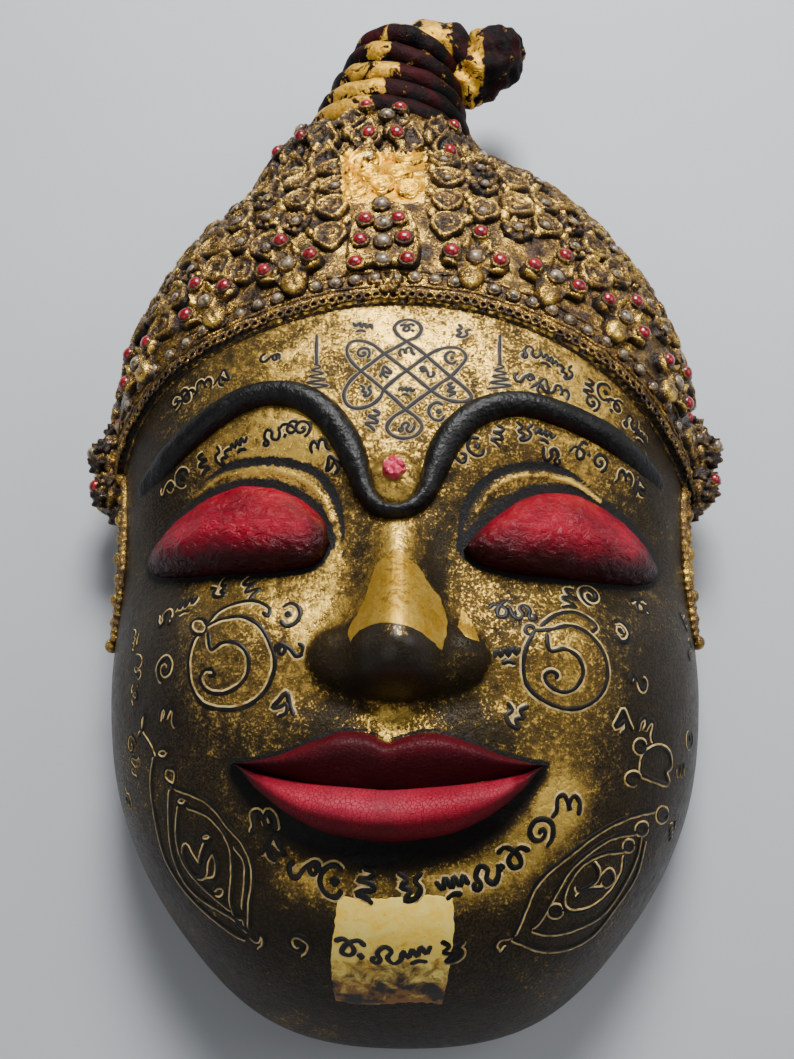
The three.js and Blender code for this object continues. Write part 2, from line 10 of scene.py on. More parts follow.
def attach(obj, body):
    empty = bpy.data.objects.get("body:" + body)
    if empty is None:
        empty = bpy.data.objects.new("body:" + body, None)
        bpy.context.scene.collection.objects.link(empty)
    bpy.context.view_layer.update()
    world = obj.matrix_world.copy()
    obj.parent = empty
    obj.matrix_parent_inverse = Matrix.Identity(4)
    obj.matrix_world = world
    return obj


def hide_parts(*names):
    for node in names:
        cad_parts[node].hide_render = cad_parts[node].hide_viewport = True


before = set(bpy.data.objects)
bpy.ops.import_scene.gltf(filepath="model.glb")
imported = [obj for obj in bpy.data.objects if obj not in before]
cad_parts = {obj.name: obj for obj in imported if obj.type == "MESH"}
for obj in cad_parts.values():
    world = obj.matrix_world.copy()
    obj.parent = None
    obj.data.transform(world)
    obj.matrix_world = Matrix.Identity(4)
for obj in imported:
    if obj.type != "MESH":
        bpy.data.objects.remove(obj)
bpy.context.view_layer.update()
print("frame loaded")

# Shapes are worked out in millimetres: x to the viewer's right, y towards the crown, z out of the face.
mm = 0.001
shiftY = 5.27  # puts the middle of the mask's length at the scene's origin


def toScene(points):
    out = np.array(points, float) * mm
    out[..., 1] += shiftY * mm
    return out


def smoothStep(a, b, t):
    u = np.clip((t - a) / (b - a), 0, 1)
    return u * u * (3 - 2 * u)


def mix(a, b, t):
    return a + (b - a) * t


# smooth curve through (t, value) points that never overshoots them
def curveAt(points, t):
    xs, ys = np.array(points, float).T
    slope = np.diff(ys) / np.diff(xs)
    lean = np.zeros(len(xs))
    for k in range(1, len(xs) - 1):
        if slope[k - 1] * slope[k] > 0:
            lean[k] = 2 * slope[k - 1] * slope[k] / (slope[k - 1] + slope[k])
    t = np.clip(t, xs[0], xs[-1])
    k = np.clip(np.searchsorted(xs, t, side="right") - 1, 0, len(xs) - 2)
    h = xs[k + 1] - xs[k]
    u = (t - xs[k]) / h
    rise = ys[k] * (1 + 2 * u) * (1 - u) ** 2 + ys[k + 1] * u * u * (3 - 2 * u)
    return rise + h * (lean[k] * u * (1 - u) ** 2 + lean[k + 1] * u * u * (u - 1))


def throughFour(p0, p1, p2, p3, f):
    slope, bend = p2 - p0, 2 * p0 - 5 * p1 + 4 * p2 - p3
    return 0.5 * (2 * p1 + slope * f + bend * f * f + (3 * p1 - p0 - 3 * p2 + p3) * f ** 3)


# rounds a run of points off, with so many steps between two of them
def smoothPath(points, steps=6):
    p = np.array(points, float)
    p = np.vstack([2 * p[0] - p[1], p, 2 * p[-1] - p[-2]])
    out = []
    for k in range(1, len(p) - 2):
        for s in range(steps):
            out.append(throughFour(p[k - 1], p[k], p[k + 1], p[k + 2], s / steps))
    out.append(p[-2])
    return np.array(out)


# distance of each place from a path, and the share of the path where it is nearest
def pathDistance(path, x, y):
    path = np.array(path, float)
    best = np.full(np.shape(x), 1e9)
    where = np.zeros(np.shape(x))
    lengths = np.hypot(*np.diff(path, axis=0).T)
    run = 0
    for k in range(len(path) - 1):
        (ax, ay), (bx, by) = path[k], path[k + 1]
        t = np.clip(((x - ax) * (bx - ax) + (y - ay) * (by - ay)) / lengths[k] ** 2, 0, 1)
        d = np.hypot(x - ax - t * (bx - ax), y - ay - t * (by - ay))
        nearer = d < best
        best = np.where(nearer, d, best)
        where = np.where(nearer, run + t * lengths[k], where)
        run += lengths[k]
    return best, where / run


# the carved head: a full dome with a flat rim; its radii stand every 15 degrees from the chin to the crown
head = {
    "middleY": -50,
    "rimRadii": [185.96, 184, 169, 153, 136, 123.5, 121, 128, 145, 163, 181, 198, 205],
    "midHeights": [(-240, 101), (-100, 101), (-40, 101), (0, 100), (26, 98), (77, 97), (110, 96), (155, 92)],
    "fullSide": 2.35,
    "fullEnd": 3.45,
    "round": 2.4,
    "lastShare": 0.985,  # nearer the rim the front is too steep to stand anything on
    "wall": 15,
    "wallTop": 17,
    "columns": 250,
    "rows": 366,
}


def rimRadius(theta):
    radii = np.array(head["rimRadii"], float)
    u = (np.degrees(np.arcsin(np.clip(np.sin(theta), -1, 1))) + 90) / 15
    k = np.clip(np.floor(u).astype(int), 0, 11)

    def at(n):
        n = np.where(n < 0, -n, n)
        return radii[np.where(n > 12, 24 - n, n)]

    return throughFour(at(k - 1), at(k), at(k + 1), at(k + 2), u - k)


def domeHeight(share, theta, y):
    power = mix(head["fullSide"], head["fullEnd"], np.sin(theta) ** 2)
    return curveAt(head["midHeights"], y) * np.clip(1 - share ** power, 0, None) ** (1 / head["round"])


def domePoint(share, theta):
    r = rimRadius(theta) * share
    x = r * np.cos(theta)
    y = head["middleY"] + r * np.sin(theta)
    return np.stack([x, y, domeHeight(share, theta, y)], -1)


def unit(v):
    return v / np.maximum(np.linalg.norm(v, axis=-1, keepdims=True), 1e-9)


def domeNormal(share, theta):
    s = np.clip(share, 0.02, head["lastShare"])
    along = domePoint(s + 0.005, theta) - domePoint(s - 0.005, theta)
    about = domePoint(s, theta + 0.01) - domePoint(s, theta - 0.01)
    return unit(np.cross(along, about))


def shareAndAngle(x, y):
    theta = np.arctan2(y - head["middleY"], x)
    return np.hypot(x, y - head["middleY"]) / rimRadius(theta), theta


# the features carved with it; a mound is its middle, its reach both ways and its height
face = {
    "socketDepth": 6.5,
    "socketSize": (44, 30),
    "noseRise": [(-128, 0), (-125.5, 3), (-122, 15), (-117, 23.5), (-111.5, 26), (-104, 23.5), (-92, 17),
                 (-80, 10.5), (-68, 5), (-56, 0)],
    "noseHalf": [(-128, 15), (-119, 17.5), (-110, 17.5), (-95, 13.5), (-80, 10), (-56, 8)],
    "wingOut": 19.3,
    "wingY": -111.3,
    "wingSize": (10.8, 10.4),
    "wingHeight": 11,
    "noseSoft": 4.5,
    "urna": (-1, -48, 9, 10.5, 4),
    "mouthMid": -3.5,
    "mouthHalf": 51,
    "mouth": (46, -150, 22, 5),
    "chinCrease": (36, -173, 5, 2),
    "mounds": [(0, -192, 34, 20, 6), (0, 5, 60, 28, 2.5), (-1, -131, 5, 5, -1.2), (-60, -108, 26, 26, 4.5),
               (60, -108, 26, 26, 4.5)],
    "hairline": [(-124, -26), (-118, -21), (-107, -8.5), (-92, 2.5), (-74, 11), (-55, 18), (-34, 24),
                 (-19, 26.8), (-4, 27.6), (12, 27), (31, 23.5), (49, 17.5), (66, 9.5), (82, 0), (96, -11),
                 (108, -22), (118, -32)],
    "crownThick": 2.6,
}
lids = {
    "left": {"inner": (-23.6, -70), "outer": (-95.5, -66.3)},
    "right": {"inner": (22.3, -73.2), "outer": (95, -71)},
}
lidShape = {
    "top": [(0, 0), (0.03, 7), (0.09, 12.5), (0.2, 18.5), (0.34, 22.2), (0.47, 23.2), (0.62, 21.4),
            (0.78, 16), (0.9, 9.5), (0.97, 4.5), (1, 0)],
    "low": [(0, 0), (0.03, -5.5), (0.1, -9), (0.3, -10.5), (0.6, -10), (0.82, -8.5), (0.94, -6), (0.98, -3.5),
            (1, 0)],
    "height": 15,
    "sink": 4,
}
rightLid = {
    "top": [(0, 0), (0.03, 3.4), (0.07, 6.8), (0.19, 14.6), (0.3, 20), (0.42, 23), (0.55, 23.5), (0.68, 21),
            (0.84, 14.5), (0.95, 6.5), (1, 0)],
    "low": [(0, 0), (0.04, -3), (0.12, -6), (0.3, -8.5), (0.6, -9.5), (0.82, -8.5), (0.94, -6), (0.98, -3.5),
            (1, 0)],
}
lipShape = {
    "top": [(-1, -144), (-0.72, -142.5), (-0.45, -138), (-0.24, -135), (-0.1, -136), (0, -138.5), (0.1, -137),
            (0.26, -135.5), (0.5, -138.5), (0.75, -143), (1, -145)],
    "line": [(-1, -144), (-0.8, -147.3), (-0.5, -150.7), (-0.2, -152.2), (0, -152.9), (0.25, -152.2),
             (0.55, -150.6), (0.82, -147.8), (1, -145)],
    "low": [(-1, -144), (-0.82, -152), (-0.6, -160), (-0.35, -165.5), (0, -168), (0.35, -166), (0.6, -161),
            (0.82, -153), (1, -145)],
    # the last of each lip's values is its painted shade, from the low edge to the top
    "upper": (7.4, 1.75, (0.92, 0.84, 0.74)),  # height, lean of the swell, and shade from low to top
    "lower": (9.5, 0.75, (0.5, 0.0, 0.12)),
    "sink": 4,
}


def mound(x, y, cx, cy, rx, ry, height):
    return height * np.exp(-(((x - cx) / rx) ** 2) - ((y - cy) / ry) ** 2)


def mounds(x, y, which):
    return sum(mound(x, y, *one) for one in which)


def socket(lid, x, y):
    cx = (lid["inner"][0] + lid["outer"][0]) / 2
    cy = (lid["inner"][1] + lid["outer"][1]) / 2 + 4
    wide, tall = face["socketSize"]
    return -face["socketDepth"] * np.exp(-(np.hypot((x - cx) / wide, (y - cy) / tall) ** 4))


def nose(x, y):
    ridge = curveAt(face["noseRise"], y) * np.exp(-(np.abs(x / curveAt(face["noseHalf"], y)) ** 2.1))
    wide, tall = face["wingSize"]
    q = 1 - ((np.abs(x) - face["wingOut"]) / wide) ** 2 - ((y - face["wingY"]) / tall) ** 2
    wings = face["wingHeight"] * np.sqrt(np.clip(q, 0, None))
    soft = face["noseSoft"]
    h = np.clip(0.5 + 0.5 * (ridge - wings) / soft, 0, 1)
    return mix(wings, ridge, h) + soft * h * (1 - h)


def mouthMound(x, y):
    across = x - face["mouthMid"]
    wide, middle, tall, height = face["mouth"]
    rise = height * np.exp(-((across / wide) ** 4) - ((y - middle) / tall) ** 4)
    wide, middle, tall, depth = face["chinCrease"]
    return rise - depth * np.exp(-((across / wide) ** 4) - ((y - middle) / tall) ** 2)


def faceRise(x, y):
    rise = socket(lids["left"], x, y) + socket(lids["right"], x, y) + nose(x, y) + mouthMound(x, y)
    cx, cy, rx, ry, height = face["urna"]
    rise += height * np.sqrt(np.clip(1 - ((x - cx) / rx) ** 2 - ((y - cy) / ry) ** 2, 0, None))
    return rise + mounds(x, y, face["mounds"])


def carvedHeight(x, y):
    share, theta = shareAndAngle(x, y)
    fade = 1 - smoothStep(0.9, 1, share)
    return domeHeight(np.minimum(share, 1), theta, y) + fade * faceRise(x, y)


# the camera of the photograph, which also says where each painted mark lies
shot = {
    "place": (8, -183, 405),
    "tilt": 21,
    "turn": 1.5,
    "roll": -0.5,
    "focal": 950,  # in pixels of the photograph's frame
    "width": 794,
    "height": 1059,
    "above": 130,  # no part of the face is higher than this
}


def shotDirections():
    tilt, turn, roll = (math.radians(shot[k]) for k in ("tilt", "turn", "roll"))
    ahead = np.array([0, math.sin(tilt), -math.cos(tilt)])
    up = np.array([0, math.cos(tilt), math.sin(tilt)])
    right = np.array([1.0, 0, 0])
    look = ahead * math.cos(turn) - right * math.sin(turn)
    side = right * math.cos(turn) + ahead * math.sin(turn)
    return look, side * math.cos(roll) + up * math.sin(roll), up * math.cos(roll) - side * math.sin(roll)


shotLook, shotSide, shotUp = shotDirections()


def shotRays(pixels):
    pixels = np.atleast_2d(np.array(pixels, float))
    across = (pixels[:, :1] - shot["width"] / 2) / shot["focal"]
    down = (pixels[:, 1:2] - shot["height"] / 2) / shot["focal"]
    return unit(shotLook + shotSide * across - shotUp * down)


# where the photograph's pixels fall on the carved face, in millimetres
def onCarving(pixels):
    rays = shotRays(pixels)
    start = np.array(shot["place"], float)
    near = (shot["above"] - start[2]) / rays[:, 2]
    far = -start[2] / rays[:, 2]
    reach = near[:, None] + (far - near)[:, None] * np.linspace(0, 1, 260)
    places = start + rays[:, None, :] * reach[..., None]
    gap = places[..., 2] - carvedHeight(places[..., 0], places[..., 1])
    first = np.clip(np.argmax(gap <= 0, axis=1), 1, None)
    rows = np.arange(len(rays))
    a, b = gap[rows, first - 1], gap[rows, first]
    f = np.clip(a / np.where(np.abs(a - b) < 1e-9, 1, a - b), 0, 1)
    return start + rays * mix(reach[rows, first - 1], reach[rows, first], f)[:, None]


def addObject(name, data):
    thing = bpy.data.objects.new(name, data)
    bpy.context.scene.collection.objects.link(thing)
    return thing


def addCamera():
    data = bpy.data.cameras.new("photo_camera")
    data.sensor_width = 36
    data.lens = data.sensor_width * shot["focal"] / shot["height"]
    data.clip_start = 0.01
    camera = addObject("photo_camera", data)
    turn = Matrix([shotSide, shotUp, -shotLook]).transposed().to_4x4()
    camera.matrix_world = Matrix.Translation(Vector(toScene(shot["place"]))) @ turn
    bpy.context.scene.camera = camera


# hand tools for meshes
def selectNothing():
    if bpy.context.mode != "OBJECT":
        bpy.ops.object.mode_set(mode="OBJECT")
    bpy.ops.object.select_all(action="DESELECT")


def justSelect(piece):
    selectNothing()
    piece.select_set(True)
    bpy.context.view_layer.objects.active = piece


def meshPoints(piece):
    co = np.empty(len(piece.data.vertices) * 3)
    piece.data.vertices.foreach_get("co", co)
    return co.reshape(-1, 3)


def movePoints(piece, places):
    piece.data.vertices.foreach_set("co", np.ascontiguousarray(places, float).ravel())
    piece.data.update()


def nameIt(piece, name):
    piece.name = name
    piece.data.name = name
    return piece


# a flat grid from -1 to 1 both ways, whose points shape(a, b) puts in their places
def gridPiece(name, columns, rows, shape):
    selectNothing()
    bpy.ops.mesh.primitive_grid_add(x_subdivisions=columns, y_subdivisions=rows, size=2)
    piece = nameIt(bpy.context.object, name)
    net = meshPoints(piece)
    movePoints(piece, toScene(shape(net[:, 0], net[:, 1])))
    return piece


@contextmanager
def editing(piece):
    justSelect(piece)
    bpy.ops.object.mode_set(mode="EDIT")
    bpy.ops.mesh.select_all(action="SELECT")
    yield
    bpy.ops.object.mode_set(mode="OBJECT")


def mergeClose(piece, distance=0.00002):
    with editing(piece):
        bpy.ops.mesh.remove_doubles(threshold=distance)
        bpy.ops.mesh.normals_make_consistent(inside=False)


def selectOpenEdges():
    bpy.ops.mesh.select_all(action="DESELECT")
    bpy.ops.mesh.select_mode(type="EDGE")
    bpy.ops.mesh.select_non_manifold(extend=False, use_wire=False, use_boundary=True, use_multi_face=False,
                                     use_non_contiguous=False, use_verts=False)


# carries the open border of a raised skin down into the wood and closes it there
def closeBelow(piece, depth):
    with editing(piece):
        bpy.ops.mesh.remove_doubles(threshold=0.00002)
        selectOpenEdges()
        bpy.ops.mesh.extrude_region_move(TRANSFORM_OT_translate={"value": (0, 0, -depth * mm)})
        bpy.ops.mesh.edge_face_add()
        bpy.ops.mesh.select_mode(type="VERT")
        bpy.ops.mesh.select_all(action="SELECT")
        bpy.ops.mesh.normals_make_consistent(inside=False)


def smoothShade(piece, angle=None):
    justSelect(piece)
    if angle is None:
        bpy.ops.object.shade_smooth()
    else:
        bpy.ops.object.shade_smooth_by_angle(angle=math.radians(angle))


def copyOf(model):
    piece = model.copy()
    piece.data = model.data.copy()
    bpy.context.scene.collection.objects.link(piece)
    return piece


def dropModel(piece):
    bpy.data.objects.remove(piece)


def joinPieces(name, pieces):
    selectNothing()
    for piece in pieces:
        piece.select_set(True)
    bpy.context.view_layer.objects.active = pieces[0]
    if len(pieces) > 1:
        bpy.ops.object.join()
    return nameIt(bpy.context.view_layer.objects.active, name)


def addShade(piece, name, values):
    attribute = piece.data.attributes.new(name, "FLOAT", "POINT")
    attribute.data.foreach_set("value", np.ascontiguousarray(values, dtype=np.float32))


def fitMaterial(piece, *materials):
    piece.data.materials.clear()
    for material in materials:
        piece.data.materials.append(material)


# a value or colour on its way through a material; sums and products of them make their own nodes
class Wire:
    def __init__(self, tree, socket):
        self.tree, self.socket = tree, socket

    def step(self, operation, other, first=None):
        values = {0: self if first is None else first, 1: other}
        return addNode(self.tree, "ShaderNodeMath", values, operation=operation)

    def __add__(self, other):
        return self.step("ADD", other)

    def __mul__(self, other):
        return self.step("MULTIPLY", other)

    def __sub__(self, other):
        return self.step("SUBTRACT", other)

    def __rsub__(self, other):
        return self.step("SUBTRACT", self, other)

    def most(self, other):
        return self.step("MAXIMUM", other)

    def spread(self, low, high, outLow=0.0, outHigh=1.0):
        values = {"Value": self, "From Min": low, "From Max": high, "To Min": outLow, "To Max": outHigh}
        return addNode(self.tree, "ShaderNodeMapRange", values)

    def noise(self, scale, detail=4.0, roughness=0.55, distortion=0.0):
        values = {"Vector": self, "Scale": scale, "Detail": detail, "Roughness": roughness,
                  "Distortion": distortion}
        return addNode(self.tree, "ShaderNodeTexNoise", values)

    def stretched(self, scale, turn=0.0):
        return addNode(self.tree, "ShaderNodeMapping",
                       {"Vector": self, "Scale": scale, "Rotation": (0, 0, turn)})

    def axis(self, name):
        return addNode(self.tree, "ShaderNodeSeparateXYZ", {0: self}, name)

    # one colour where the value is 0, another where it is 1
    def blend(self, low, high):
        return addNode(self.tree, "ShaderNodeMix", {0: self, 6: low, 7: high}, 2, data_type="RGBA")


def fillInputs(tree, node, values):
    for key, value in values.items():
        if isinstance(value, Wire):
            tree.links.new(value.socket, node.inputs[key])
        else:
            node.inputs[key].default_value = value


def addNode(tree, kind, values, output=0, **settings):
    node = tree.nodes.new(kind)
    for key, value in settings.items():
        setattr(node, key, value)
    fillInputs(tree, node, values)
    return Wire(tree, node.outputs[output])


def newMaterial(name):
    material = bpy.data.materials.new(name)
    material.use_nodes = True
    material.node_tree.nodes.clear()
    return material, addNode(material.node_tree, "ShaderNodeTexCoord", {}, "Object")


# a value painted on the points of a piece, such as how much gold is left there
def valueOf(place, name):
    return addNode(place.tree, "ShaderNodeAttribute", {}, "Fac", attribute_name=name)


shaderInputs = {
    "colour": "Base Color", "metal": "Metallic", "rough": "Roughness", "specular": "Specular IOR Level",
    "coat": "Coat Weight", "coatRough": "Coat Roughness", "glass": "Transmission Weight",
}


# ends a material with its shader; bumps are their height, strength and distance
def finish(material, bumps=None, **looks):
    tree = material.node_tree
    values = {shaderInputs[key]: value for key, value in looks.items()}
    if bumps:
        relief = dict(zip(("Height", "Strength", "Distance"), bumps))
        values["Normal"] = addNode(tree, "ShaderNodeBump", relief)
    shader = tree.nodes.new("ShaderNodeBsdfPrincipled")
    fillInputs(tree, shader, values)
    output = tree.nodes.new("ShaderNodeOutputMaterial")
    tree.links.new(shader.outputs[0], output.inputs[0])
    return material


def rgb(red, green, blue):
    def one(v):
        v /= 255
        return v / 12.92 if v <= 0.04045 else ((v + 0.055) / 1.055) ** 2.4
    return (one(red), one(green), one(blue), 1)


golds = {
    "face": {
        "gold": rgb(246, 202, 96), "deep": rgb(150, 118, 54), "thin": rgb(70, 57, 34),
        "lacquer": rgb(13, 10, 7), "patches": 38.0, "specks": 1100.0, "pits": 0.55,
    },
    "crown": {
        "gold": rgb(248, 206, 98), "deep": rgb(154, 118, 58), "thin": rgb(74, 56, 40),
        "lacquer": rgb(24, 17, 13), "patches": 70.0, "specks": 900.0, "pits": 0.2,
    },
}


# gold leaf laid on dark lacquer and rubbed: bare lacquer, thin gold and full gold, with pits and glints
def wornGold(place, gilt, kind):
    leaf = golds[kind]
    patches = place.noise(leaf["patches"], 7.0, 0.66, 0.5)
    grain = place.noise(leaf["patches"] * 8, 5.0, 0.65)
    specks = place.noise(leaf["specks"], 4.0, 0.7)
    swing = gilt.most(0.0) * 0.36 + 0.17
    tone = gilt + patches.spread(0.3, 0.7, -1.0, 1.0) * swing + grain.spread(0.3, 0.7, -0.5, 0.5) * swing
    colour = tone.spread(-0.38, 0.2).blend(leaf["lacquer"], leaf["thin"])
    colour = tone.spread(0.1, 0.56).blend(colour, leaf["deep"])
    colour = tone.spread(0.42, 0.95).blend(colour, leaf["gold"])
    clean = (specks + (tone - 0.4) * 0.24).spread(0.41, 0.52) * leaf["pits"] + (1 - leaf["pits"])
    colour = clean.blend(leaf["lacquer"], colour)
    glints = (specks + grain * 0.4).spread(0.76, 0.86) * tone.spread(0.05, 0.3)
    colour = (glints * 0.8).blend(colour, leaf["gold"])
    metal = (tone.spread(-0.3, 0.5, 0.35, 1.0) * clean).most(glints)
    rough = grain.spread(0.3, 0.7, 0.2, 0.4) + (1 - clean) * 0.15
    return colour, metal, rough, clean * 0.45 + (grain + specks * 0.3)


def makeFaceGilding():
    material, place = newMaterial("gilded_face")
    colour, metal, rough, height = wornGold(place, valueOf(place, "gilt"), "face")
    ragged = place.noise(700.0, 4.0, 0.7).spread(0.3, 0.7, -0.16, 0.16)
    # the dark paint of the eye rings, lid bands and lip outline, with the painted shadow under the lids, laid
    # over the gold
    painted = (valueOf(place, "darkPaintAndShadow") + ragged).spread(0.42, 0.58)
    return finish(
        material, (height, 0.85, 0.0006), colour=painted.blend(colour, rgb(30, 29, 29)),
        metal=metal * painted.spread(0.0, 1.0, 0.9, 0.0), rough=rough + painted * 0.12, specular=0.16,
        coat=valueOf(place, "polish") * 0.45, coatRough=0.34,
    )


def makeCrownGilding():
    material, place = newMaterial("gilded_crown")
    crest = valueOf(place, "crest")
    colour, metal, rough, height = wornGold(place, crest, "crown")
    leafed = crest.spread(1.5, 1.7)
    creases = place.noise(240.0, 5.0, 0.7, 0.6).spread(0.53, 0.64, 0.0, 0.9)
    fresh = creases.blend(rgb(244, 182, 14), rgb(92, 56, 10))
    return finish(
        material, (height * leafed.spread(0.0, 1.0, 1.0, 0.6), 0.8, 0.0008),
        colour=leafed.blend(colour, fresh), metal=metal * leafed.spread(0.0, 1.0, 1.0, 0.0) + leafed * 0.72,
        rough=(rough - 0.06).most(leafed * 0.38), specular=0.35,
    )


def makeRedPaint(name, crackled):
    material, place = newMaterial(name)
    patches = place.noise(60.0, 5.0, 0.6)
    paintedShade = valueOf(place, "paintedShade")
    colour = patches.spread(0.35, 0.68).blend(rgb(110, 0, 24), rgb(158, 0, 36))
    # the red goes dark where the piece's painted shade lies
    colour = paintedShade.blend(colour, rgb(20, 0, 4))
    height = place.noise(420.0, 5.0, 0.6)
    if crackled:
        cells = addNode(place.tree, "ShaderNodeTexVoronoi", {"Vector": place, "Scale": 780.0}, "Distance",
                        feature="DISTANCE_TO_EDGE")
        lines = cells.spread(0.0, 0.06, 1.0, 0.0) * patches.spread(0.35, 0.6, 0.25, 1.0)
        # a paler pink in patches on the lower lip where its painted shade is light: a painted sheen
        pale = place.noise(45.0, 3.0).spread(0.35, 0.65, 0.04, 0.28) * paintedShade.spread(0.0, 0.25, 1.0, 0.0)
        colour = (lines * 0.6).blend(pale.blend(colour, rgb(220, 84, 104)), rgb(70, 4, 14))
        height = height * 0.5 - lines * 0.22
    else:
        height = height + place.stretched((0.8, 1.2, 1.0), 0.5).noise(250.0, 4.0, 0.6, 1.4) * 2.2
    rough, specular = (0.5, 0.18) if crackled else (0.25, 0.24)
    return finish(material, (height, 0.7, 0.0012), colour=colour, rough=rough, specular=specular)


def makeBlackLacquer():
    material, place = newMaterial("black_roll")
    wear = place.noise(240.0, 5.0, 0.65).spread(0.52, 0.72)
    height = place.noise(150.0, 4.0, 0.6) + place.noise(700.0) * 0.45
    return finish(material, (height, 0.75, 0.0013), colour=wear.blend(rgb(6, 6, 6), rgb(32, 31, 29)),
                  rough=wear.spread(0.0, 1.0, 0.4, 0.6), specular=0.3)


def makeBackWood():
    material, place = newMaterial("back_wood")
    rings = place.stretched((1.0, 0.12, 0.6)).noise(160.0, 5.0, 0.6, 0.6)
    colour = rings.spread(0.35, 0.66).blend(rgb(46, 34, 22), rgb(92, 68, 42))
    return finish(material, (rings, 0.5, 0.0008), colour=colour, rough=0.7)


faceGilding = makeFaceGilding()
crownGilding = makeCrownGilding()
lidRed = makeRedPaint("lid_red", False)
lipRed = makeRedPaint("lip_red", True)
blackRoll = makeBlackLacquer()
backWood = makeBackWood()
print("materials made")


# the shell of the mask, with its painted grounds
eyePaint = {
    "left": {
        "ring": [(200, 484), (212, 476), (230, 466), (258, 461), (290, 463), (318, 474), (334, 496),
                 (342, 522), (343, 556)],
        "rim": [(198, 495), (222, 477), (258, 470.5), (286, 474), (306, 483), (322, 498), (332, 520)],
    },
    "right": {
        "ring": [(592, 488), (574, 476), (550, 467), (525, 466), (500, 472), (480, 486), (466, 508),
                 (460, 534), (460, 560)],
        "rim": [(600, 502), (580, 487), (552, 477), (525, 476), (504, 482), (488, 494), (477, 512)],
    },
    "ringHalf": 1.7,
    "rimHalf": 0.8,
}


def squareToDisc(a, b):
    u = a * np.sqrt(1 - b * b / 2)
    v = b * np.sqrt(1 - a * a / 2)
    return np.minimum(np.hypot(u, v), 1), np.arctan2(v, u)


# even spacing over the face that closes up towards the rim
def evenOut(s, start=0.75):
    c = 2 / (1 + start)
    past = np.clip(s - start, 0, None)
    return np.minimum(c * (np.minimum(s, start) + past - past ** 2 / (2 * (1 - start))), 1)


def lidEdge(side, edge, s):
    return curveAt((rightLid if side == "right" else lidShape)[edge], s)


def lidPlace(lid, s, n):
    (ix, iy), (ox, oy) = lid["inner"], lid["outer"]
    length = math.hypot(ox - ix, oy - iy)
    ux, uy = (ox - ix) / length, (oy - iy) / length
    sign = 1 if ox > ix else -1
    return ix + ux * s * length - uy * n * sign, iy + uy * s * length + ux * n * sign


def pathsOnFace():
    paths = {}
    for side in ("left", "right"):
        for kind in ("ring", "rim"):
            paths[side, kind] = smoothPath(onCarving(eyePaint[side][kind])[:, :2], 4)
    return paths


facePaths = pathsOnFace()


def hairlinePath(rise, steps=10, reach=119.0):
    path = smoothPath(face["hairline"], steps)
    lean = unit(np.gradient(path, axis=0))
    path = path + np.stack([-lean[:, 1], lean[:, 0]], -1) * rise
    return path[np.abs(path[:, 0]) < reach]


def crownShare(x, y):
    return smoothStep(-1.5, 1.5, y - curveAt(face["hairline"], x))


def lumps(points, size, reach):
    return np.array([noise.noise(Vector(p) / size) for p in points]) * reach


def roughen(piece, *lumpSets):
    p = meshPoints(piece)
    p[:, 2] += sum(lumps(p / mm, size, reach) for size, reach in lumpSets) * mm
    movePoints(piece, p)


# old gilding over a piece, its gold uneven by lumps of a size and reach
def gild(piece, gold, size, reach):
    addShade(piece, "crest", gold + lumps(meshPoints(piece) / mm, size, reach))
    smoothShade(piece)
    fitMaterial(piece, crownGilding)


def frontPlace(share, theta):
    p = domePoint(share, theta)
    x, y = p[:, 0].copy(), p[:, 1].copy()
    fade = 1 - smoothStep(0.9, 1, share)
    rise = faceRise(x, y)
    for side in ("left", "right"):
        ringFar, _ = pathDistance(facePaths[side, "ring"], x, y)
        rimFar, _ = pathDistance(facePaths[side, "rim"], x, y)
        rise = rise + 0.7 * np.exp(-((rimFar / 1.1) ** 2)) - 0.35 * np.exp(-((ringFar / 2) ** 2))
    p[:, 2] += fade * rise
    normal = domeNormal(share, theta)
    edge = share >= 1
    normal[edge, 2] = 0
    crown = crownShare(x, y)
    out = crown * face["crownThick"]
    uneven = crown > 0.05
    out[uneven] += fade[uneven] * crown[uneven] * lumps(p[uneven], 5.0, 1.0)
    p += unit(normal) * out[:, None]
    p[edge, 2] = 0
    return p


def onEdge(a, b):
    return (np.abs(a) > 0.99999) | (np.abs(b) > 0.99999)


def makeShell():
    def front(a, b):
        s, theta = squareToDisc(a, b)
        return frontPlace(np.where(onEdge(a, b), 1.0, evenOut(s)), theta)

    def hollow(a, b):
        s, theta = squareToDisc(a, b)
        share = np.sin(s * math.pi / 2) ** 0.95
        r = (rimRadius(theta) - head["wall"]) * share
        x, y = r * np.cos(theta), head["middleY"] + r * np.sin(theta)
        z = domeHeight(share, theta, y) * (101 - head["wallTop"]) / 101
        return np.stack([x, y, np.where(onEdge(a, b), 0, z)], -1)

    shell = gridPiece("mask_shell", head["columns"], head["rows"], front)
    inside = gridPiece("mask_hollow", 50, 60, hollow)
    with editing(inside):
        bpy.ops.mesh.flip_normals()
    for piece in (shell, inside):
        fitMaterial(piece, faceGilding, crownGilding, backWood)
    for polygon in inside.data.polygons:
        polygon.material_index = 2
    shell = joinPieces("mask_shell", [shell, inside])
    with editing(shell):
        selectOpenEdges()
        bpy.ops.mesh.bridge_edge_loops()
        bpy.ops.mesh.select_mode(type="VERT")
    return shell


shell = makeShell()
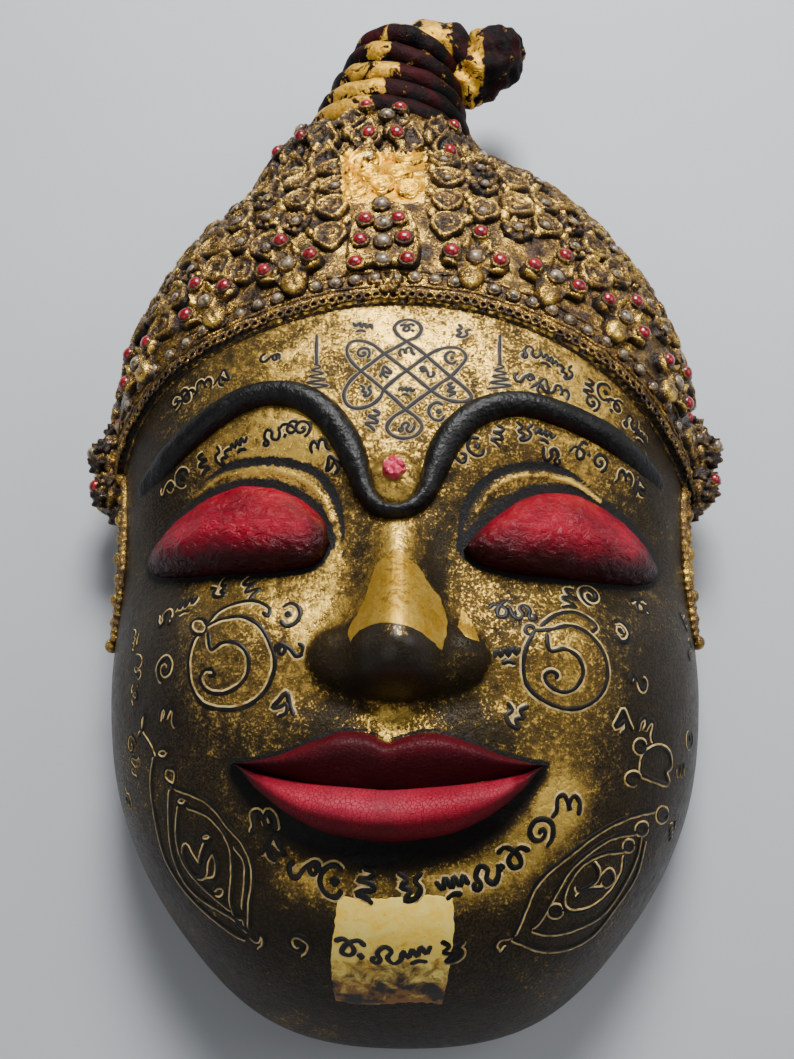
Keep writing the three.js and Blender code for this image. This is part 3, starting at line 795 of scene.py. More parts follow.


# patches of more or less gold on the face: the middle, the reach both ways and how much; a few of them are
# painted shade under the nose and the chin, and one is a painted highlight along the upper lip's top edge
gilding = {
    "ground": 0.26,
    "patches": [
        (-4, 12, 56, 26, 0.4), (22, -22, 30, 20, 0.1), (-1, -48, 12, 12, 0.25), (72, -8, 30, 24, 0.26),
        (-42, -34, 30, 14, 0.45), (50, -38, 34, 12, 0.14), (-32, -92, 26, 22, 0.42), (32, -96, 24, 22, 0.18),
        (0, -72, 5, 16, 0.3), (-13, -78, 6, 16, -0.4), (13, -80, 6, 16, -0.4), (0, -107.5, 9, 5, 0.95),
        (-21, -107, 6, 4, 0.4), (22, -107, 6, 4, 0.4), (-1.5, -130.5, 8.5, 2.8, 0.95),
        # on this line: painted shade under the nose wings, and a painted highlight of gold along the upper
        # lip's top edge
        (-20, -129, 11, 6, -0.3), (20, -129, 11, 6, -0.3), (-2, -137, 13, 3, 0.42),
        (-32, -137, 14, 6, -0.22), (26, -137, 14, 6, -0.24),
        # the last patch on this line darkens the underside of the chin: painted shade
        (20, -182, 24, 12, 0.3), (-34, -188, 20, 12, 0.3), (48, -158, 14, 14, 0.45), (0, -222, 70, 26, -0.6),
    ],
    "rimShade": 0.58,
    "noseShadeAndPatina": 0.85,
    "underLipShadow": 1.05,
    "glow": [(300, 868), (345, 880), (400, 884), (455, 882), (505, 864), (540, 836), (562, 802)],  # in pixels
    "crown": 0.27,
}


def nearPath(path, x, y, reach):
    far, _ = pathDistance(path, x, y)
    return np.clip(1 - far / reach, 0, 1)


def lipPath(edge, lift, reach, count):
    s = np.linspace(-reach, reach, count)
    return np.stack([face["mouthMid"] + s * face["mouthHalf"], curveAt(lipShape[edge], s) + lift], -1)


def lidPath(side, edge, lift, count=24):
    s = np.linspace(0, 1, count)
    return np.stack(lidPlace(lids[side], s, lidEdge(side, edge, s) + lift), -1)


# how much gold is left on each part of the face, and where the dark paint lies; painted shade is laid in here
# too, as less gold under the nose, under the lower lip and towards the rim, as dark paint under the lids'
# lower edges, and as a dark line along the hairline
def paintShell():
    p = meshPoints(shell) / mm
    x, y = p[:, 0], p[:, 1] - shiftY
    share, _ = shareAndAngle(x, y)
    underNose = smoothStep(1.5, 6, nose(x, y)) * smoothStep(-98, -105, y)
    gilt = gilding["ground"] + mounds(x, y, gilding["patches"]) + 0.07 * smoothStep(35, 85, x)
    # less gold towards the rim is painted shade on the sides and jaw, which turn away from the light; less
    # gold under the nose is painted shade there, with dark patina
    gilt -= smoothStep(0.5, 0.92, share) * gilding["rimShade"] + underNose * gilding["noseShadeAndPatina"]
    darkPaintAndShadow = np.zeros(len(p))
    for side in ("left", "right"):
        ringFar, along = pathDistance(facePaths[side, "ring"], x, y)
        taper = 0.15 + 0.85 * smoothStep(0, 0.2, along) * smoothStep(0, 0.3, 1 - along)
        darkPaintAndShadow = np.maximum(darkPaintAndShadow, np.clip(1 - ringFar / (2 * eyePaint["ringHalf"] * taper), 0, 1))
        darkPaintAndShadow = np.maximum(darkPaintAndShadow, nearPath(lidPath(side, "top", 1.2), x, y, 4.4 if side == "left" else 6.0))
        # a dark line just below each lid's lower edge: painted shadow under the lid's overhang
        darkPaintAndShadow = np.maximum(darkPaintAndShadow, nearPath(lidPath(side, "low", -0.5), x, y, 3.6))
        onRim = nearPath(facePaths[side, "rim"], x, y, 2 * eyePaint["rimHalf"])
        darkPaintAndShadow = np.where(onRim > 0.3, np.minimum(darkPaintAndShadow, 1 - onRim), darkPaintAndShadow)
        gilt = np.maximum(gilt, onRim)
    # less gold just below the lower lip: painted shadow under the lip
    lipFar, along = pathDistance(lipPath("low", -1.5, 0.95, 30), x, y)
    gilt -= gilding["underLipShadow"] * np.exp(-((lipFar / (2.6 + 4.4 * np.sin(np.pi * along))) ** 2))
    lipFar, along = pathDistance(lipPath("top", 0.5, 0.99, 40), x, y)
    darkPaintAndShadow = np.maximum(darkPaintAndShadow, np.clip(1 - lipFar / (0.9 + 1.6 * np.abs(2 * along - 1)), 0, 1))
    glowFar, along = pathDistance(smoothPath(onCarving(gilding["glow"])[:, :2], 3), x, y)
    gilt += (0.35 + 0.4 * smoothStep(0.45, 0.9, along)) * np.exp(-((glowFar / 7.5) ** 2))
    edgeFar, _ = pathDistance(hairlinePath(0.6, 4, 200), x, y)
    addShade(shell, "polish", underNose * smoothStep(13, 8, np.abs(x)))
    addShade(shell, "gilt", gilt)
    addShade(shell, "darkPaintAndShadow", darkPaintAndShadow)
    # the crown's gold drops in a thin dark line along the hairline under the chain: painted shadow
    addShade(shell, "crest", gilding["crown"] + lumps(p, 6.5, 0.62) - 0.9 * np.exp(-((edgeFar / 1.7) ** 2)))
    kinds = np.zeros(len(shell.data.polygons), dtype=np.int32)
    middle = np.empty(len(shell.data.polygons) * 3)
    shell.data.polygons.foreach_get("material_index", kinds)
    shell.data.polygons.foreach_get("center", middle)
    x, y, z = middle.reshape(-1, 3).T / mm
    kinds[(y - shiftY > curveAt(face["hairline"], x)) & (kinds == 0) & (z > 0.01)] = 1
    shell.data.polygons.foreach_set("material_index", kinds)


paintShell()
smoothShade(shell)
print("shell made")


# the brow roll
brow = {
    "path": [(-103, -39), (-93, -32), (-81, -25), (-67, -17.5), (-56.5, -13.2), (-45, -12.2), (-34.5, -15.2),
             (-25.2, -22.8), (-18, -34), (-13.8, -45), (-11, -53), (-6.6, -58.6), (-1, -60.4), (4.5, -58.6),
             (9.5, -53), (13, -43.5), (18, -32.5), (28, -22.5), (43, -18), (59.5, -20.5), (75, -25),
             (87, -30), (101, -39)],
    "half": 5.4,
    "height": 4.6,
    "thinEnd": 4.0,
}


def makeBrow():
    path = smoothPath(brow["path"], 12)
    reach = np.linspace(0, 1, len(path))
    lean = unit(np.gradient(path, axis=0))

    def shape(a, b):
        s = (a + 1) / 2
        x, y, tx, ty = (np.interp(s, reach, v) for v in (*path.T, *lean.T))
        end = np.minimum(s, 1 - s)
        full = smoothStep(0, 0.09, end)
        point = np.clip(end / 0.012, 0, 1) ** 0.5
        half = mix(brow["thinEnd"], brow["half"], full) * point
        half = half * mix(0.62, 1, smoothStep(-60, -30, y)) * mix(0.9, 1.04, np.abs(ty))
        out = np.cos(b * math.pi) * half
        tall = np.sin(b * math.pi) * (1 + brow["height"] * full) * point
        return np.stack([x + out * ty, y - out * tx, carvedHeight(x, y) - 0.4 + tall], -1)

    piece = gridPiece("brow_roll", 260, 24, shape)
    mergeClose(piece)
    roughen(piece, (9.0, 0.35))
    smoothShade(piece)
    fitMaterial(piece, blackRoll)
    return piece


browRoll = makeBrow()


# the points of a skin stand closer together near its upper and lower edge
def closerEdges(b):
    v = (b + 1) / 2
    return v - 0.06 * np.sin(2 * math.pi * v)


def makeLid(side):
    def shape(a, b):
        s = (a + 1) / 2
        s = s * s * (3 - 2 * s) * 0.5 + s * 0.5
        v = closerEdges(b)
        x, y = lidPlace(lids[side], s, mix(lidEdge(side, "low", s), lidEdge(side, "top", s), v))
        swell = np.clip(4 * s * (1 - s), 0, 1) ** 0.42 * np.clip(np.sin(math.pi * v ** 0.8), 0, None) ** 0.62
        return np.stack([x, y, carvedHeight(x, y) + lidShape["height"] * swell], -1)

    piece = gridPiece("lid_" + side, 150, 60, shape)
    closeBelow(piece, lidShape["sink"])
    roughen(piece, (8.0, 0.9), (3.2, 0.45))
    p = meshPoints(piece) / mm
    far, _ = pathDistance(lidPath(side, "low", 0, 30), p[:, 0], p[:, 1] - shiftY)
    # darker towards the lower edge: painted shade where the lid turns down, with darker red paint there as
    # well
    addShade(piece, "paintedShade", smoothStep(14, 2, far) * 0.9)
    smoothShade(piece, 60)
    fitMaterial(piece, lidRed)
    return piece


def makeLip(which, topEdge, lowEdge):
    topCurve, lowCurve = lipShape[topEdge], lipShape[lowEdge]
    height, lean, paintedShades = lipShape[which]

    def shape(a, b):
        s = np.sin(a * math.pi / 2) * 0.5 + a * 0.5
        v = closerEdges(b)
        x = face["mouthMid"] + s * face["mouthHalf"]
        y = mix(curveAt(lowCurve, s), curveAt(topCurve, s), v)
        swell = np.sqrt(np.clip(1 - s * s, 0, 1)) * np.clip(np.sin(math.pi * v ** lean), 0, None) ** 0.6
        return np.stack([x, y, carvedHeight(x, y) + height * swell], -1)

    piece = gridPiece("lip_" + which, 150, 40, shape)
    closeBelow(piece, lipShape["sink"])
    roughen(piece, (8.0, 0.25))
    p = meshPoints(piece) / mm
    s = np.clip((p[:, 0] - face["mouthMid"]) / face["mouthHalf"], -1, 1)
    low, top = curveAt(lowCurve, s), curveAt(topCurve, s)
    v = np.clip((p[:, 1] - shiftY - low) / np.maximum(top - low, 0.1), 0, 1)
    # painted shade across each lip from its low edge to its top, and darker at the mouth's corners as painted
    # shade where the lips meet
    paintedShade = curveAt(list(zip((0, 0.5, 1), paintedShades)), v)
    addShade(piece, "paintedShade", np.maximum(paintedShade, smoothStep(0.7, 0.93, np.abs(s)) * 0.92))
    smoothShade(piece, 60)
    fitMaterial(piece, lipRed)
    return piece


lidPieces = [makeLid("left"), makeLid("right")]
lipPieces = [makeLip("upper", "top", "line"), makeLip("lower", "line", "low")]
print("brow, lids and lips made")


# the wound topknot; each roll has a sheet of gold leaf lying on it from one x to another
knot = {
    "start": np.array([-13.0, 112.0, 35.0]),
    "end": np.array([3.0, 207.0, 44.0]),
    "rolls": 5,
    "wide": (41, 24),
    "deep": (34, 23),
    "tilt": 0.2,
    "thick": 8.6,
    "leaf": [(-41, -13), (-35, -7), (-27, 0), (-17, -5), (-9, -6)],
    "core": [(0.34, 38, 33), (0.6, 31, 28), (0.85, 23, 22), (1.0, 18, 18), (1.04, 4, 4)],
    "fold": [(-12, 195, 44, 0), (-6, 198, 46, 9), (4, 205, 48, 13.5), (16, 209, 49, 13.5), (28, 204, 48, 12),
             (36, 196, 46, 8), (38, 190, 45, 0)],
    "tail": [(24, 182, 42, 0), (28, 186, 43, 8), (35, 192, 45, 12), (42, 199, 47, 14.5), (47, 207, 48, 14),
             (50, 215, 48, 9.5), (51, 221, 48, 0)],
}


# what the lacquer of the knot is told: how far a point stands out, and where its leaf begins and ends
def markKnot(piece, ridge, leaf):
    count = len(piece.data.vertices)
    addShade(piece, "ridge", ridge if np.ndim(ridge) else np.full(count, ridge))
    for name, place in zip(("leafFrom", "leafTo"), leaf):
        addShade(piece, name, np.full(count, place * mm))
    smoothShade(piece)
    fitMaterial(piece, knotLacquer)


def makeRoll(k):
    selectNothing()
    tube = 0.25
    bpy.ops.mesh.primitive_torus_add(major_segments=96, minor_segments=22, major_radius=1, minor_radius=tube)
    piece = nameIt(bpy.context.object, f"topknot_roll_{k + 1}")
    p = meshPoints(piece)
    angle = np.arctan2(p[:, 1], p[:, 0])
    out = (np.hypot(p[:, 0], p[:, 1]) - 1) / tube
    along = p[:, 2] / tube
    u = (k + 0.45) / knot["rolls"]
    thick = knot["thick"] * (1 - 0.18 * u)
    x = np.cos(angle) * (mix(*knot["wide"], u) + 1.2 - thick + out * thick)
    y = along * thick * 0.86 - x * knot["tilt"] + 1.5 * np.sin(angle * 2 + k)
    z = np.sin(angle) * (mix(*knot["deep"], u) + 1.2 - thick + out * thick)
    places = mix(knot["start"], knot["end"], mix(0.38, 1, u)) + np.stack([x, y, z], -1)
    spoke = unit(np.stack([np.cos(angle) * out, along, np.sin(angle) * out], -1))
    places += spoke * lumps(places, 7.0, 0.8)[:, None]
    movePoints(piece, toScene(places))
    markKnot(piece, np.clip(out, 0, 1), knot["leaf"][k])
    return piece


# the columns of a table, read along a path by the share or the length of it
def columnsAt(at, reach, table):
    return np.stack([np.interp(at, reach, column) for column in table.T], -1)


def makeSweep(name, stations, roughness, size, leaf):
    path = smoothPath([s[:3] for s in stations], 10)
    radii = smoothPath([(s[3], 0) for s in stations], 10)[:, 0]
    reach = np.linspace(0, 1, len(path))
    lean = unit(np.gradient(path, axis=0))
    across = unit(np.cross([0, 0, 1], lean))
    up = np.cross(lean, across)

    def shape(a, b):
        s = (a + 1) / 2
        r = np.clip(np.interp(s, reach, radii), 0, None)
        angle = (b * math.pi)[:, None]
        spoke = columnsAt(s, reach, across) * np.cos(angle) + columnsAt(s, reach, up) * np.sin(angle)
        places = columnsAt(s, reach, path) + spoke * r[:, None]
        return places + spoke * (lumps(places, size, roughness) * np.clip(r / 4, 0, 1))[:, None]

    piece = gridPiece(name, 60, 40, shape)
    mergeClose(piece)
    markKnot(piece, 0.72, leaf)
    return piece


def makeKnotLacquer():
    material, place = newMaterial("topknot_lacquer")
    across, ridge = place.axis("X"), valueOf(place, "ridge")
    ragged = place.noise(120.0, 6.0, 0.65).spread(0.3, 0.7, -0.006, 0.006)
    before = (valueOf(place, "leafTo") - (across + ragged * 0.3)).spread(0.0, 0.0008)
    after = (across + ragged - valueOf(place, "leafFrom")).spread(0.0, 0.0008)
    worn = place.noise(80.0, 7.0, 0.66, 0.7).spread(0.42, 0.46)
    raised = (ridge + ragged * 80.0).spread(0.6, 0.68)
    flecks = place.noise(130.0, 7.0, 0.75).spread(0.61, 0.66)
    leaf = (before * after * (worn * raised)).most(flecks * 0.75)
    red = ridge * place.noise(60.0, 6.0, 0.65, 0.6).spread(0.42, 0.72)
    colour = (red * 0.42).blend(rgb(4, 4, 4), rgb(92, 6, 16))
    tint = place.noise(300.0, 5.0, 0.6).spread(0.35, 0.65)
    return finish(
        material, (place.noise(240.0, 6.0, 0.68) + leaf * 0.25, 0.8, 0.0016),
        colour=leaf.blend(colour, tint.blend(rgb(190, 134, 34), rgb(250, 196, 66))),
        metal=leaf * 0.7, rough=leaf.spread(0.0, 1.0, 0.56, 0.4), specular=0.1,
    )


knotLacquer = makeKnotLacquer()
knotPieces = [makeRoll(k) for k in range(knot["rolls"])]
knotPieces.append(makeSweep("topknot_fold", knot["fold"], 2.2, 8.0, (1, 25)))
knotPieces.append(makeSweep("topknot_tail", knot["tail"], 3.4, 6.0, (22, 40)))


def makeCore():
    rings = np.array(knot["core"], float)

    def shape(a, b):
        t, rx, rz = columnsAt((a + 1) / 2, np.linspace(0, 1, len(rings)), rings).T
        angle = b * math.pi
        x = np.cos(angle) * rx
        offset = np.stack([x, -x * knot["tilt"], np.sin(angle) * rz], -1)
        return mix(knot["start"], knot["end"], t[:, None]) + offset

    piece = gridPiece("topknot_core", 24, 48, shape)
    mergeClose(piece)
    markKnot(piece, 0, (1, 0))
    return piece


knotPieces.append(makeCore())
collar = {
    "along": [-0.02, 0.1, 0.22, 0.32, 0.4],
    "wide": [57, 57, 54, 47, 38],
    "deep": [42, 42, 40.5, 37, 32],
}


def collarPlace(angle, t):
    rx, rz = np.interp(t, collar["along"], collar["wide"]), np.interp(t, collar["along"], collar["deep"])
    x = np.cos(angle) * rx
    offset = np.stack([x, -x * 0.06, np.sin(angle) * rz], -1)
    return mix(knot["start"], knot["end"], t[:, None]) + offset


def collarSpot(degrees, t, turn=0.0):
    angle, along = np.radians([float(degrees)]), np.array([float(t)])
    point = collarPlace(angle, along)[0]
    about = collarPlace(angle + 0.01, along)[0] - point
    onward = collarPlace(angle, along + 0.004)[0] - point
    normal = unit(np.cross(onward, about))
    across = unit(-about)
    up = np.cross(normal, across)
    c, s = math.cos(turn), math.sin(turn)
    return {"point": point, "normal": normal, "across": across * c + up * s, "up": up * c - across * s}


def makeCollar():
    def shape(a, b):
        t = np.interp((a + 1) / 2, [0, 0.3, 0.6, 0.85, 1], collar["along"])
        angle = b * math.pi
        places = collarPlace(angle, t)
        spoke = unit(np.stack([np.cos(angle) * 57, 0 * angle, np.sin(angle) * 42], -1))
        places += spoke * lumps(places, 6.0, 1.2)[:, None]
        places[:, 2] = np.maximum(places[:, 2], 0.5)
        return places

    piece = gridPiece("topknot_collar", 40, 120, shape)
    mergeClose(piece)
    gild(piece, 0.3, 6.0, 0.4)
    return piece


knotPieces.append(makeCollar())
print("topknot made")


# frames that stand on the front
def frontFrame(x, y, turn=0.0):
    share, theta = shareAndAngle(np.array([x], float), np.array([y], float))
    share = np.minimum(share, head["lastShare"])
    normal = domeNormal(share, theta)[0]
    across = np.array([math.cos(turn), math.sin(turn), 0.0])
    across = unit(across - normal * across.dot(normal))
    up = np.cross(normal, across)
    return {"point": frontPlace(share, theta)[0], "normal": normal, "across": across, "up": up}


# sideways, crownward and outward distances on a frame, as places in millimetres
def inFrame(spot, local):
    axes = np.array([spot["across"], spot["up"], spot["normal"]])
    return spot["point"] + np.atleast_2d(np.array(local, float)) @ axes


# one moulded ornament: a round net with its own outline and relief, and a skirt that goes into the ground
def mouldOrnament(name, cells, outlineAt, reliefAt, skirt=3.0, edge=0.84):
    def shape(a, b):
        rho, phi = squareToDisc(a, b)
        r = rho * outlineAt(phi)
        x, y = r * np.cos(phi), r * np.sin(phi)
        z = mix(reliefAt(x, y, rho, phi), -skirt, smoothStep(edge, 1, rho))
        return np.stack([x, y - shiftY, z], -1)

    return gridPiece(name, cells, cells, shape)


# a copy of an ornament set on a frame and sized; higher parts keep more gold, and the low parts go dark as
# painted shade in the recesses
def setOrnament(model, spot, size=1.0, gold=0.3, heightScale=None, uneven=0.35):
    piece = copyOf(model)
    local = meshPoints(piece) / mm
    tall = local[:, 2]
    places = inFrame(spot, local * [size, size, heightScale or size])
    places += spot["normal"] * lumps(places, 2.6, uneven)[:, None]
    # low parts darker: painted shade in the recesses, with the higher parts keeping more gold
    worn = 0.37 * np.clip(tall, -1, 3.4) - 0.3 * np.clip(tall - 3.8, 0, 2)
    addShade(piece, "crest", gold - 0.78 + worn + lumps(places, 4.0, 0.4))
    places[:, 2] = np.maximum(places[:, 2], 0.4)
    movePoints(piece, toScene(places))
    return piece


# outline from a few radii given by their angle in degrees, mirrored left and right
def lobedOutline(radii):
    def outline(phi):
        degrees = np.degrees(phi)
        fromTop = np.abs((degrees - 90 + 180) % 360 - 180)
        return curveAt(radii, fromTop)
    return outline


def bump(x, y, cx, cy, rx, ry, height):
    q = 1 - ((x - cx) / rx) ** 2 - ((y - cy) / ry) ** 2
    return height * np.sqrt(np.clip(q, 0, None))


# each model: cells of its net, outline radii by degrees from its top, its skirt and where that starts
crownWork = {
    "models": {
        "lappet": (40, [(0, 21), (18, 16), (36, 10.5), (60, 12), (85, 15.5), (105, 14), (128, 9), (150, 12),
                        (180, 17)], 3.0, 0.84),
        "rosette": (14, None, 3.0, 0.84),
        "scale": (18, [(0, 6.6), (60, 7.4), (90, 7.4), (130, 7.4), (155, 8), (180, 9.6)], 3.0, 0.9),
        "leaf": (7, [(0, 10.5), (22, 6), (50, 4.2), (90, 3.8), (130, 4.4), (180, 6)], 3.0, 0.84),
        "column": (40, [(0, 24), (30, 20.5), (60, 16.5), (90, 15.5), (120, 18.5), (140, 22), (160, 18.5),
                        (180, 17)], 3.0, 0.84),
        "curl": (20, [(0, 12), (22, 8.4), (50, 7.4), (90, 7.8), (130, 7), (180, 8)], 4.0, 0.88),
    },
    "lappets": [(-103, 17), (-74, 33), (-42, 43.5), (29, 45), (59, 38.5), (85, 26), (106, 7)],
    "column": (-6, 57),
    "columnGround": [(-6, 53, 19), (-6, 68, 15), (-7, 90, 20)],
    "aboveColumn": [(-17, 88), (-7, 91), (4, 88), (-12, 99), (0, 99)],
    "rowShares": [0.50, 0.575, 0.65, 0.725, 0.795, 0.86, 0.92, 0.965],
    "rowStep": 13.5,
    "aboveHairline": 14,
    "widest": 124,
    "collarRings": [(0.0, 17, 1.15), (0.14, 19, 1.1), (0.27, 23, 0.95), (0.36, 26, 0.7)],
    "medallion": (388, 291),  # in pixels of the photograph
    "leafSquare": (342, 152, 425, 202),  # pixels under a square of fresh leaf
}


def addBumps(z, x, y, *bumps):
    for base, *one in bumps:
        z = np.maximum(z, base + bump(x, y, *one))
    return z


def lappetRelief(x, y, rho, phi):
    drop = bump(x, y, 0, -9.5, 5.4, 7, 5.4) * (1 - 0.16 * np.exp(-((x / 0.9) ** 2)))
    z = np.maximum(1.6 + 0.5 * np.cos(phi * 14), drop - 0.5 * np.exp(-(((y + 6.5) / 0.8) ** 2)))
    for side in (-1, 1):
        z = addBumps(z, x, y, (1, side * 10, -4.5, 4.2, 3.6, 2.8), (1, side * 9.5, 1.5, 4.6, 4.4, 2.4),
                     (1, side * 5, 9, 2.4, 4.5, 2.6), (0.8, side * 12.5, 5.5, 2.2, 3.2, 2.6))
    return np.minimum(addBumps(z, x, y, (1, 0, 1, 5.2, 5.2, 2.6), (1, 0, 14.5, 4.2, 5, 2.4)), 6.2)


def rosetteRelief(x, y, rho, phi):
    petals = 1.3 * np.clip(np.cos(phi * 6), 0, 1) * smoothStep(0.25, 0.5, rho)
    return 1.4 + petals + 1.4 * smoothStep(0.4, 0.2, rho)


def scaleRelief(x, y, rho, phi):
    rim = np.exp(-(((rho - 0.76) / 0.13) ** 2))
    curl = np.exp(-(((rho - 0.18 - 0.3 * ((phi + math.pi) / (2 * math.pi))) / 0.09) ** 2))
    return 1.3 + 1.5 * rim + 1.3 * curl


def leafRelief(x, y, rho, phi):
    rib = np.exp(-((x / 0.9) ** 2))
    veins = np.cos(np.abs(x) * 1.9 + y * 1.1)
    return 1.2 + 1.9 * (1 - rho ** 2) + 0.9 * rib + 0.45 * veins


# the border of the crown: a twisted cord, plain lines at their rise over the hairline, and a band of studs
border = {
    "cord": 0.6,
    "link": (1.55, 0.64),
    "linkStep": 3.4,
    "cordGold": 0.22,
    "lines": [("crown_edge", -1.5, 0.8, 0.12), ("crown_inner_line", 3.0, 0.9, 0.34),
              ("crown_band_line", 5.4, 0.7, 0.3), ("crown_line", 12.6, 0.95, 0.26)],
    "band": 9.0,
    "studStep": 7.4,
}


def curlRelief(x, y, rho, phi):
    rim = np.exp(-(((rho - 0.74) / 0.15) ** 2))
    z = 1.2 + 1.7 * rim + 0.8 * np.exp(-((x / 0.8) ** 2)) * smoothStep(-1, 3, y)
    return addBumps(z, x, y, (1, -2.6, -2.6, 2.3, 2.3, 2.4), (1, 2.6, -2.6, 2.3, 2.3, 2.4))


def columnRelief(x, y, rho, phi):
    return 2.1 + 0.8 * np.exp(-(((rho - 0.8) / 0.07) ** 2)) + 0.5 * np.cos(phi * 16) * rho ** 4


def rosetteOutline(phi):
    return 6.4 * (1 + 0.09 * np.cos(6 * phi))


reliefs = {
    "lappet": lappetRelief, "rosette": rosetteRelief, "scale": scaleRelief, "leaf": leafRelief,
    "column": columnRelief, "curl": curlRelief,
}


# the places of the crown's rows: row and count in it, place, share and angle, clear of the larger plates
def crownRows():
    taken = [(x, y, 17) for x, y in crownWork["lappets"]] + crownWork["columnGround"]
    for row, share in enumerate(crownWork["rowShares"]):
        radius = float(np.mean(rimRadius(np.radians([30.0, 90.0])))) * share
        step = crownWork["rowStep"] / radius
        for k in range(int(math.pi / step) + 1):
            theta = (k + 0.5 * (row % 2)) * step
            r = float(rimRadius(np.array([theta]))[0]) * share
            x, y = r * math.cos(theta), head["middleY"] + r * math.sin(theta)
            low = float(curveAt(face["hairline"], x)) + crownWork["aboveHairline"]
            if y < low or abs(x) > crownWork["widest"]:
                continue
            if not any(math.hypot(x - tx, y - ty) < reach for tx, ty, reach in taken):
                yield (k + row) % 3, x, y, share, theta - math.pi / 2


def makeCrownWork():
    models = {}
    for name, (cells, radii, skirt, edge) in crownWork["models"].items():
        outline = lobedOutline(radii) if radii else rosetteOutline
        models[name] = mouldOrnament(name + "_model", cells, outline, reliefs[name], skirt, edge)
    names = ("crown_lappets", "crown_rosettes", "crown_scales", "crown_leaves", "collar_leaves")
    parts = {name: [] for name in names}

    def add(part, model, spot, *looks):
        parts[part].append(setOrnament(models[model], spot, *looks))

    for x, y in crownWork["lappets"]:
        add("crown_lappets", "lappet", frontFrame(x, y, math.atan2(-x, 150)))
    add("crown_lappets", "column", frontFrame(*crownWork["column"]))
    gems = []
    rng = random.Random(7)
    for kind, x, y, share, turn in crownRows():
        turn += rng.uniform(-0.15, 0.15)
        spot = frontFrame(x, y, turn)
        if abs(x + 7) < 16 and 76 < y < 108:
            add("crown_scales", "scale", spot, rng.uniform(0.8, 1.0))
            continue
        if kind == 0:
            add("crown_rosettes", "rosette", spot, rng.uniform(0.95, 1.15), 0.22)
            gems.append((spot, 0, 0, 2.4))
        elif kind == 1:
            add("crown_scales", "scale", spot, rng.uniform(0.95, 1.15), 0.26)
            gems.append((spot, 0, -3.2, 2.4))
        else:
            add("crown_scales", "scale", spot, rng.uniform(1.0, 1.2))
        for side in (-1, 1) if share < 0.93 else ():
            leaf = inFrame(spot, (side * 7.4, rng.uniform(3, 7), 0))[0]
            leafSpot = frontFrame(leaf[0], leaf[1], turn + side * rng.uniform(-0.5, 0.1))
            add("crown_leaves", "leaf", leafSpot, rng.uniform(0.55, 0.75), 0.42)
    for x, y in crownWork["aboveColumn"]:
        add("crown_scales", "scale", frontFrame(x, y, rng.uniform(-0.5, 0.5)), 0.85)
    for ring, (t, step, size) in enumerate(crownWork["collarRings"]):
        for k in range(int(200 / step) + 1):
            degrees = -10 + step * (k + 0.5 * (ring % 2))
            spot = collarSpot(degrees, t, rng.uniform(-0.25, 0.25))
            add("collar_leaves", "curl", spot, size * rng.uniform(0.9, 1.1), 0.08, None, 0.6)
            if ring < 2:
                turn = math.pi * rng.choice((0, 1)) + rng.uniform(-0.5, 0.5)
                spot = collarSpot(degrees + step / 2, t + 0.05, turn)
                add("collar_leaves", "leaf", spot, rng.uniform(0.8, 1.0), 0.12)
    x, y, _ = onCarving([crownWork["medallion"]])[0]
    add("crown_rosettes", "rosette", frontFrame(x, y), 0.8, 0.3, 1.5)
    for model in models.values():
        dropModel(model)
    made = [joinPieces(name, group) for name, group in parts.items()]
    for piece in made:
        smoothShade(piece)
        fitMaterial(piece, crownGilding)
    return made, gems


crownPieces, crownGems = makeCrownWork()
print("crown work made", len(crownGems), [len(piece.data.polygons) for piece in crownPieces])


def lengthsAlong(path):
    return np.concatenate([[0], np.cumsum(np.linalg.norm(np.diff(path, axis=0), axis=1))])


# even steps along a path, so many of them
def stepsAlong(path, lengths, count):
    at = np.array([lengths[-1] * k / count for k in range(count + 1)])
    return columnsAt(at, lengths, path)


# a tube whose radius swells and shrinks by so much over each step of its length
def makeTube(name, centres, normals, radius, wave, step, columns=300):
    lengths = lengthsAlong(centres)
    lean = unit(np.gradient(centres, axis=0))
    across = unit(np.cross(lean, normals))
    up = np.cross(across, lean)

    def shape(a, b):
        s = (a + 1) / 2 * lengths[-1]
        angle = (b * math.pi)[:, None]
        point = np.clip(np.minimum(s, lengths[-1] - s) / 1.5, 0, 1) ** 0.5
        r = ((radius + wave * np.cos(2 * math.pi * s / step)) * point)[:, None]
        spoke = columnsAt(s, lengths, across) * np.cos(angle) + columnsAt(s, lengths, up) * np.sin(angle)
        return columnsAt(s, lengths, centres) + spoke * r

    piece = gridPiece(name, columns, 8, shape)
    mergeClose(piece, 0.00001)
    return piece


def ringModel(name, radius, thick, around):
    selectNothing()
    bpy.ops.mesh.primitive_torus_add(major_segments=around, minor_segments=5, major_radius=radius * mm,
                                     minor_radius=thick * mm)
    return nameIt(bpy.context.object, name)


def setStone(model, spot, a, b, height):
    piece = copyOf(model)
    movePoints(piece, toScene(inFrame(spot, meshPoints(piece) / mm + [a, b, height])))
    return piece


def alongHairline(rise):
    path = hairlinePath(rise)
    share, theta = shareAndAngle(path[:, 0], path[:, 1])
    share = np.minimum(share, head["lastShare"])
    return path, frontPlace(share, theta), domeNormal(share, theta)


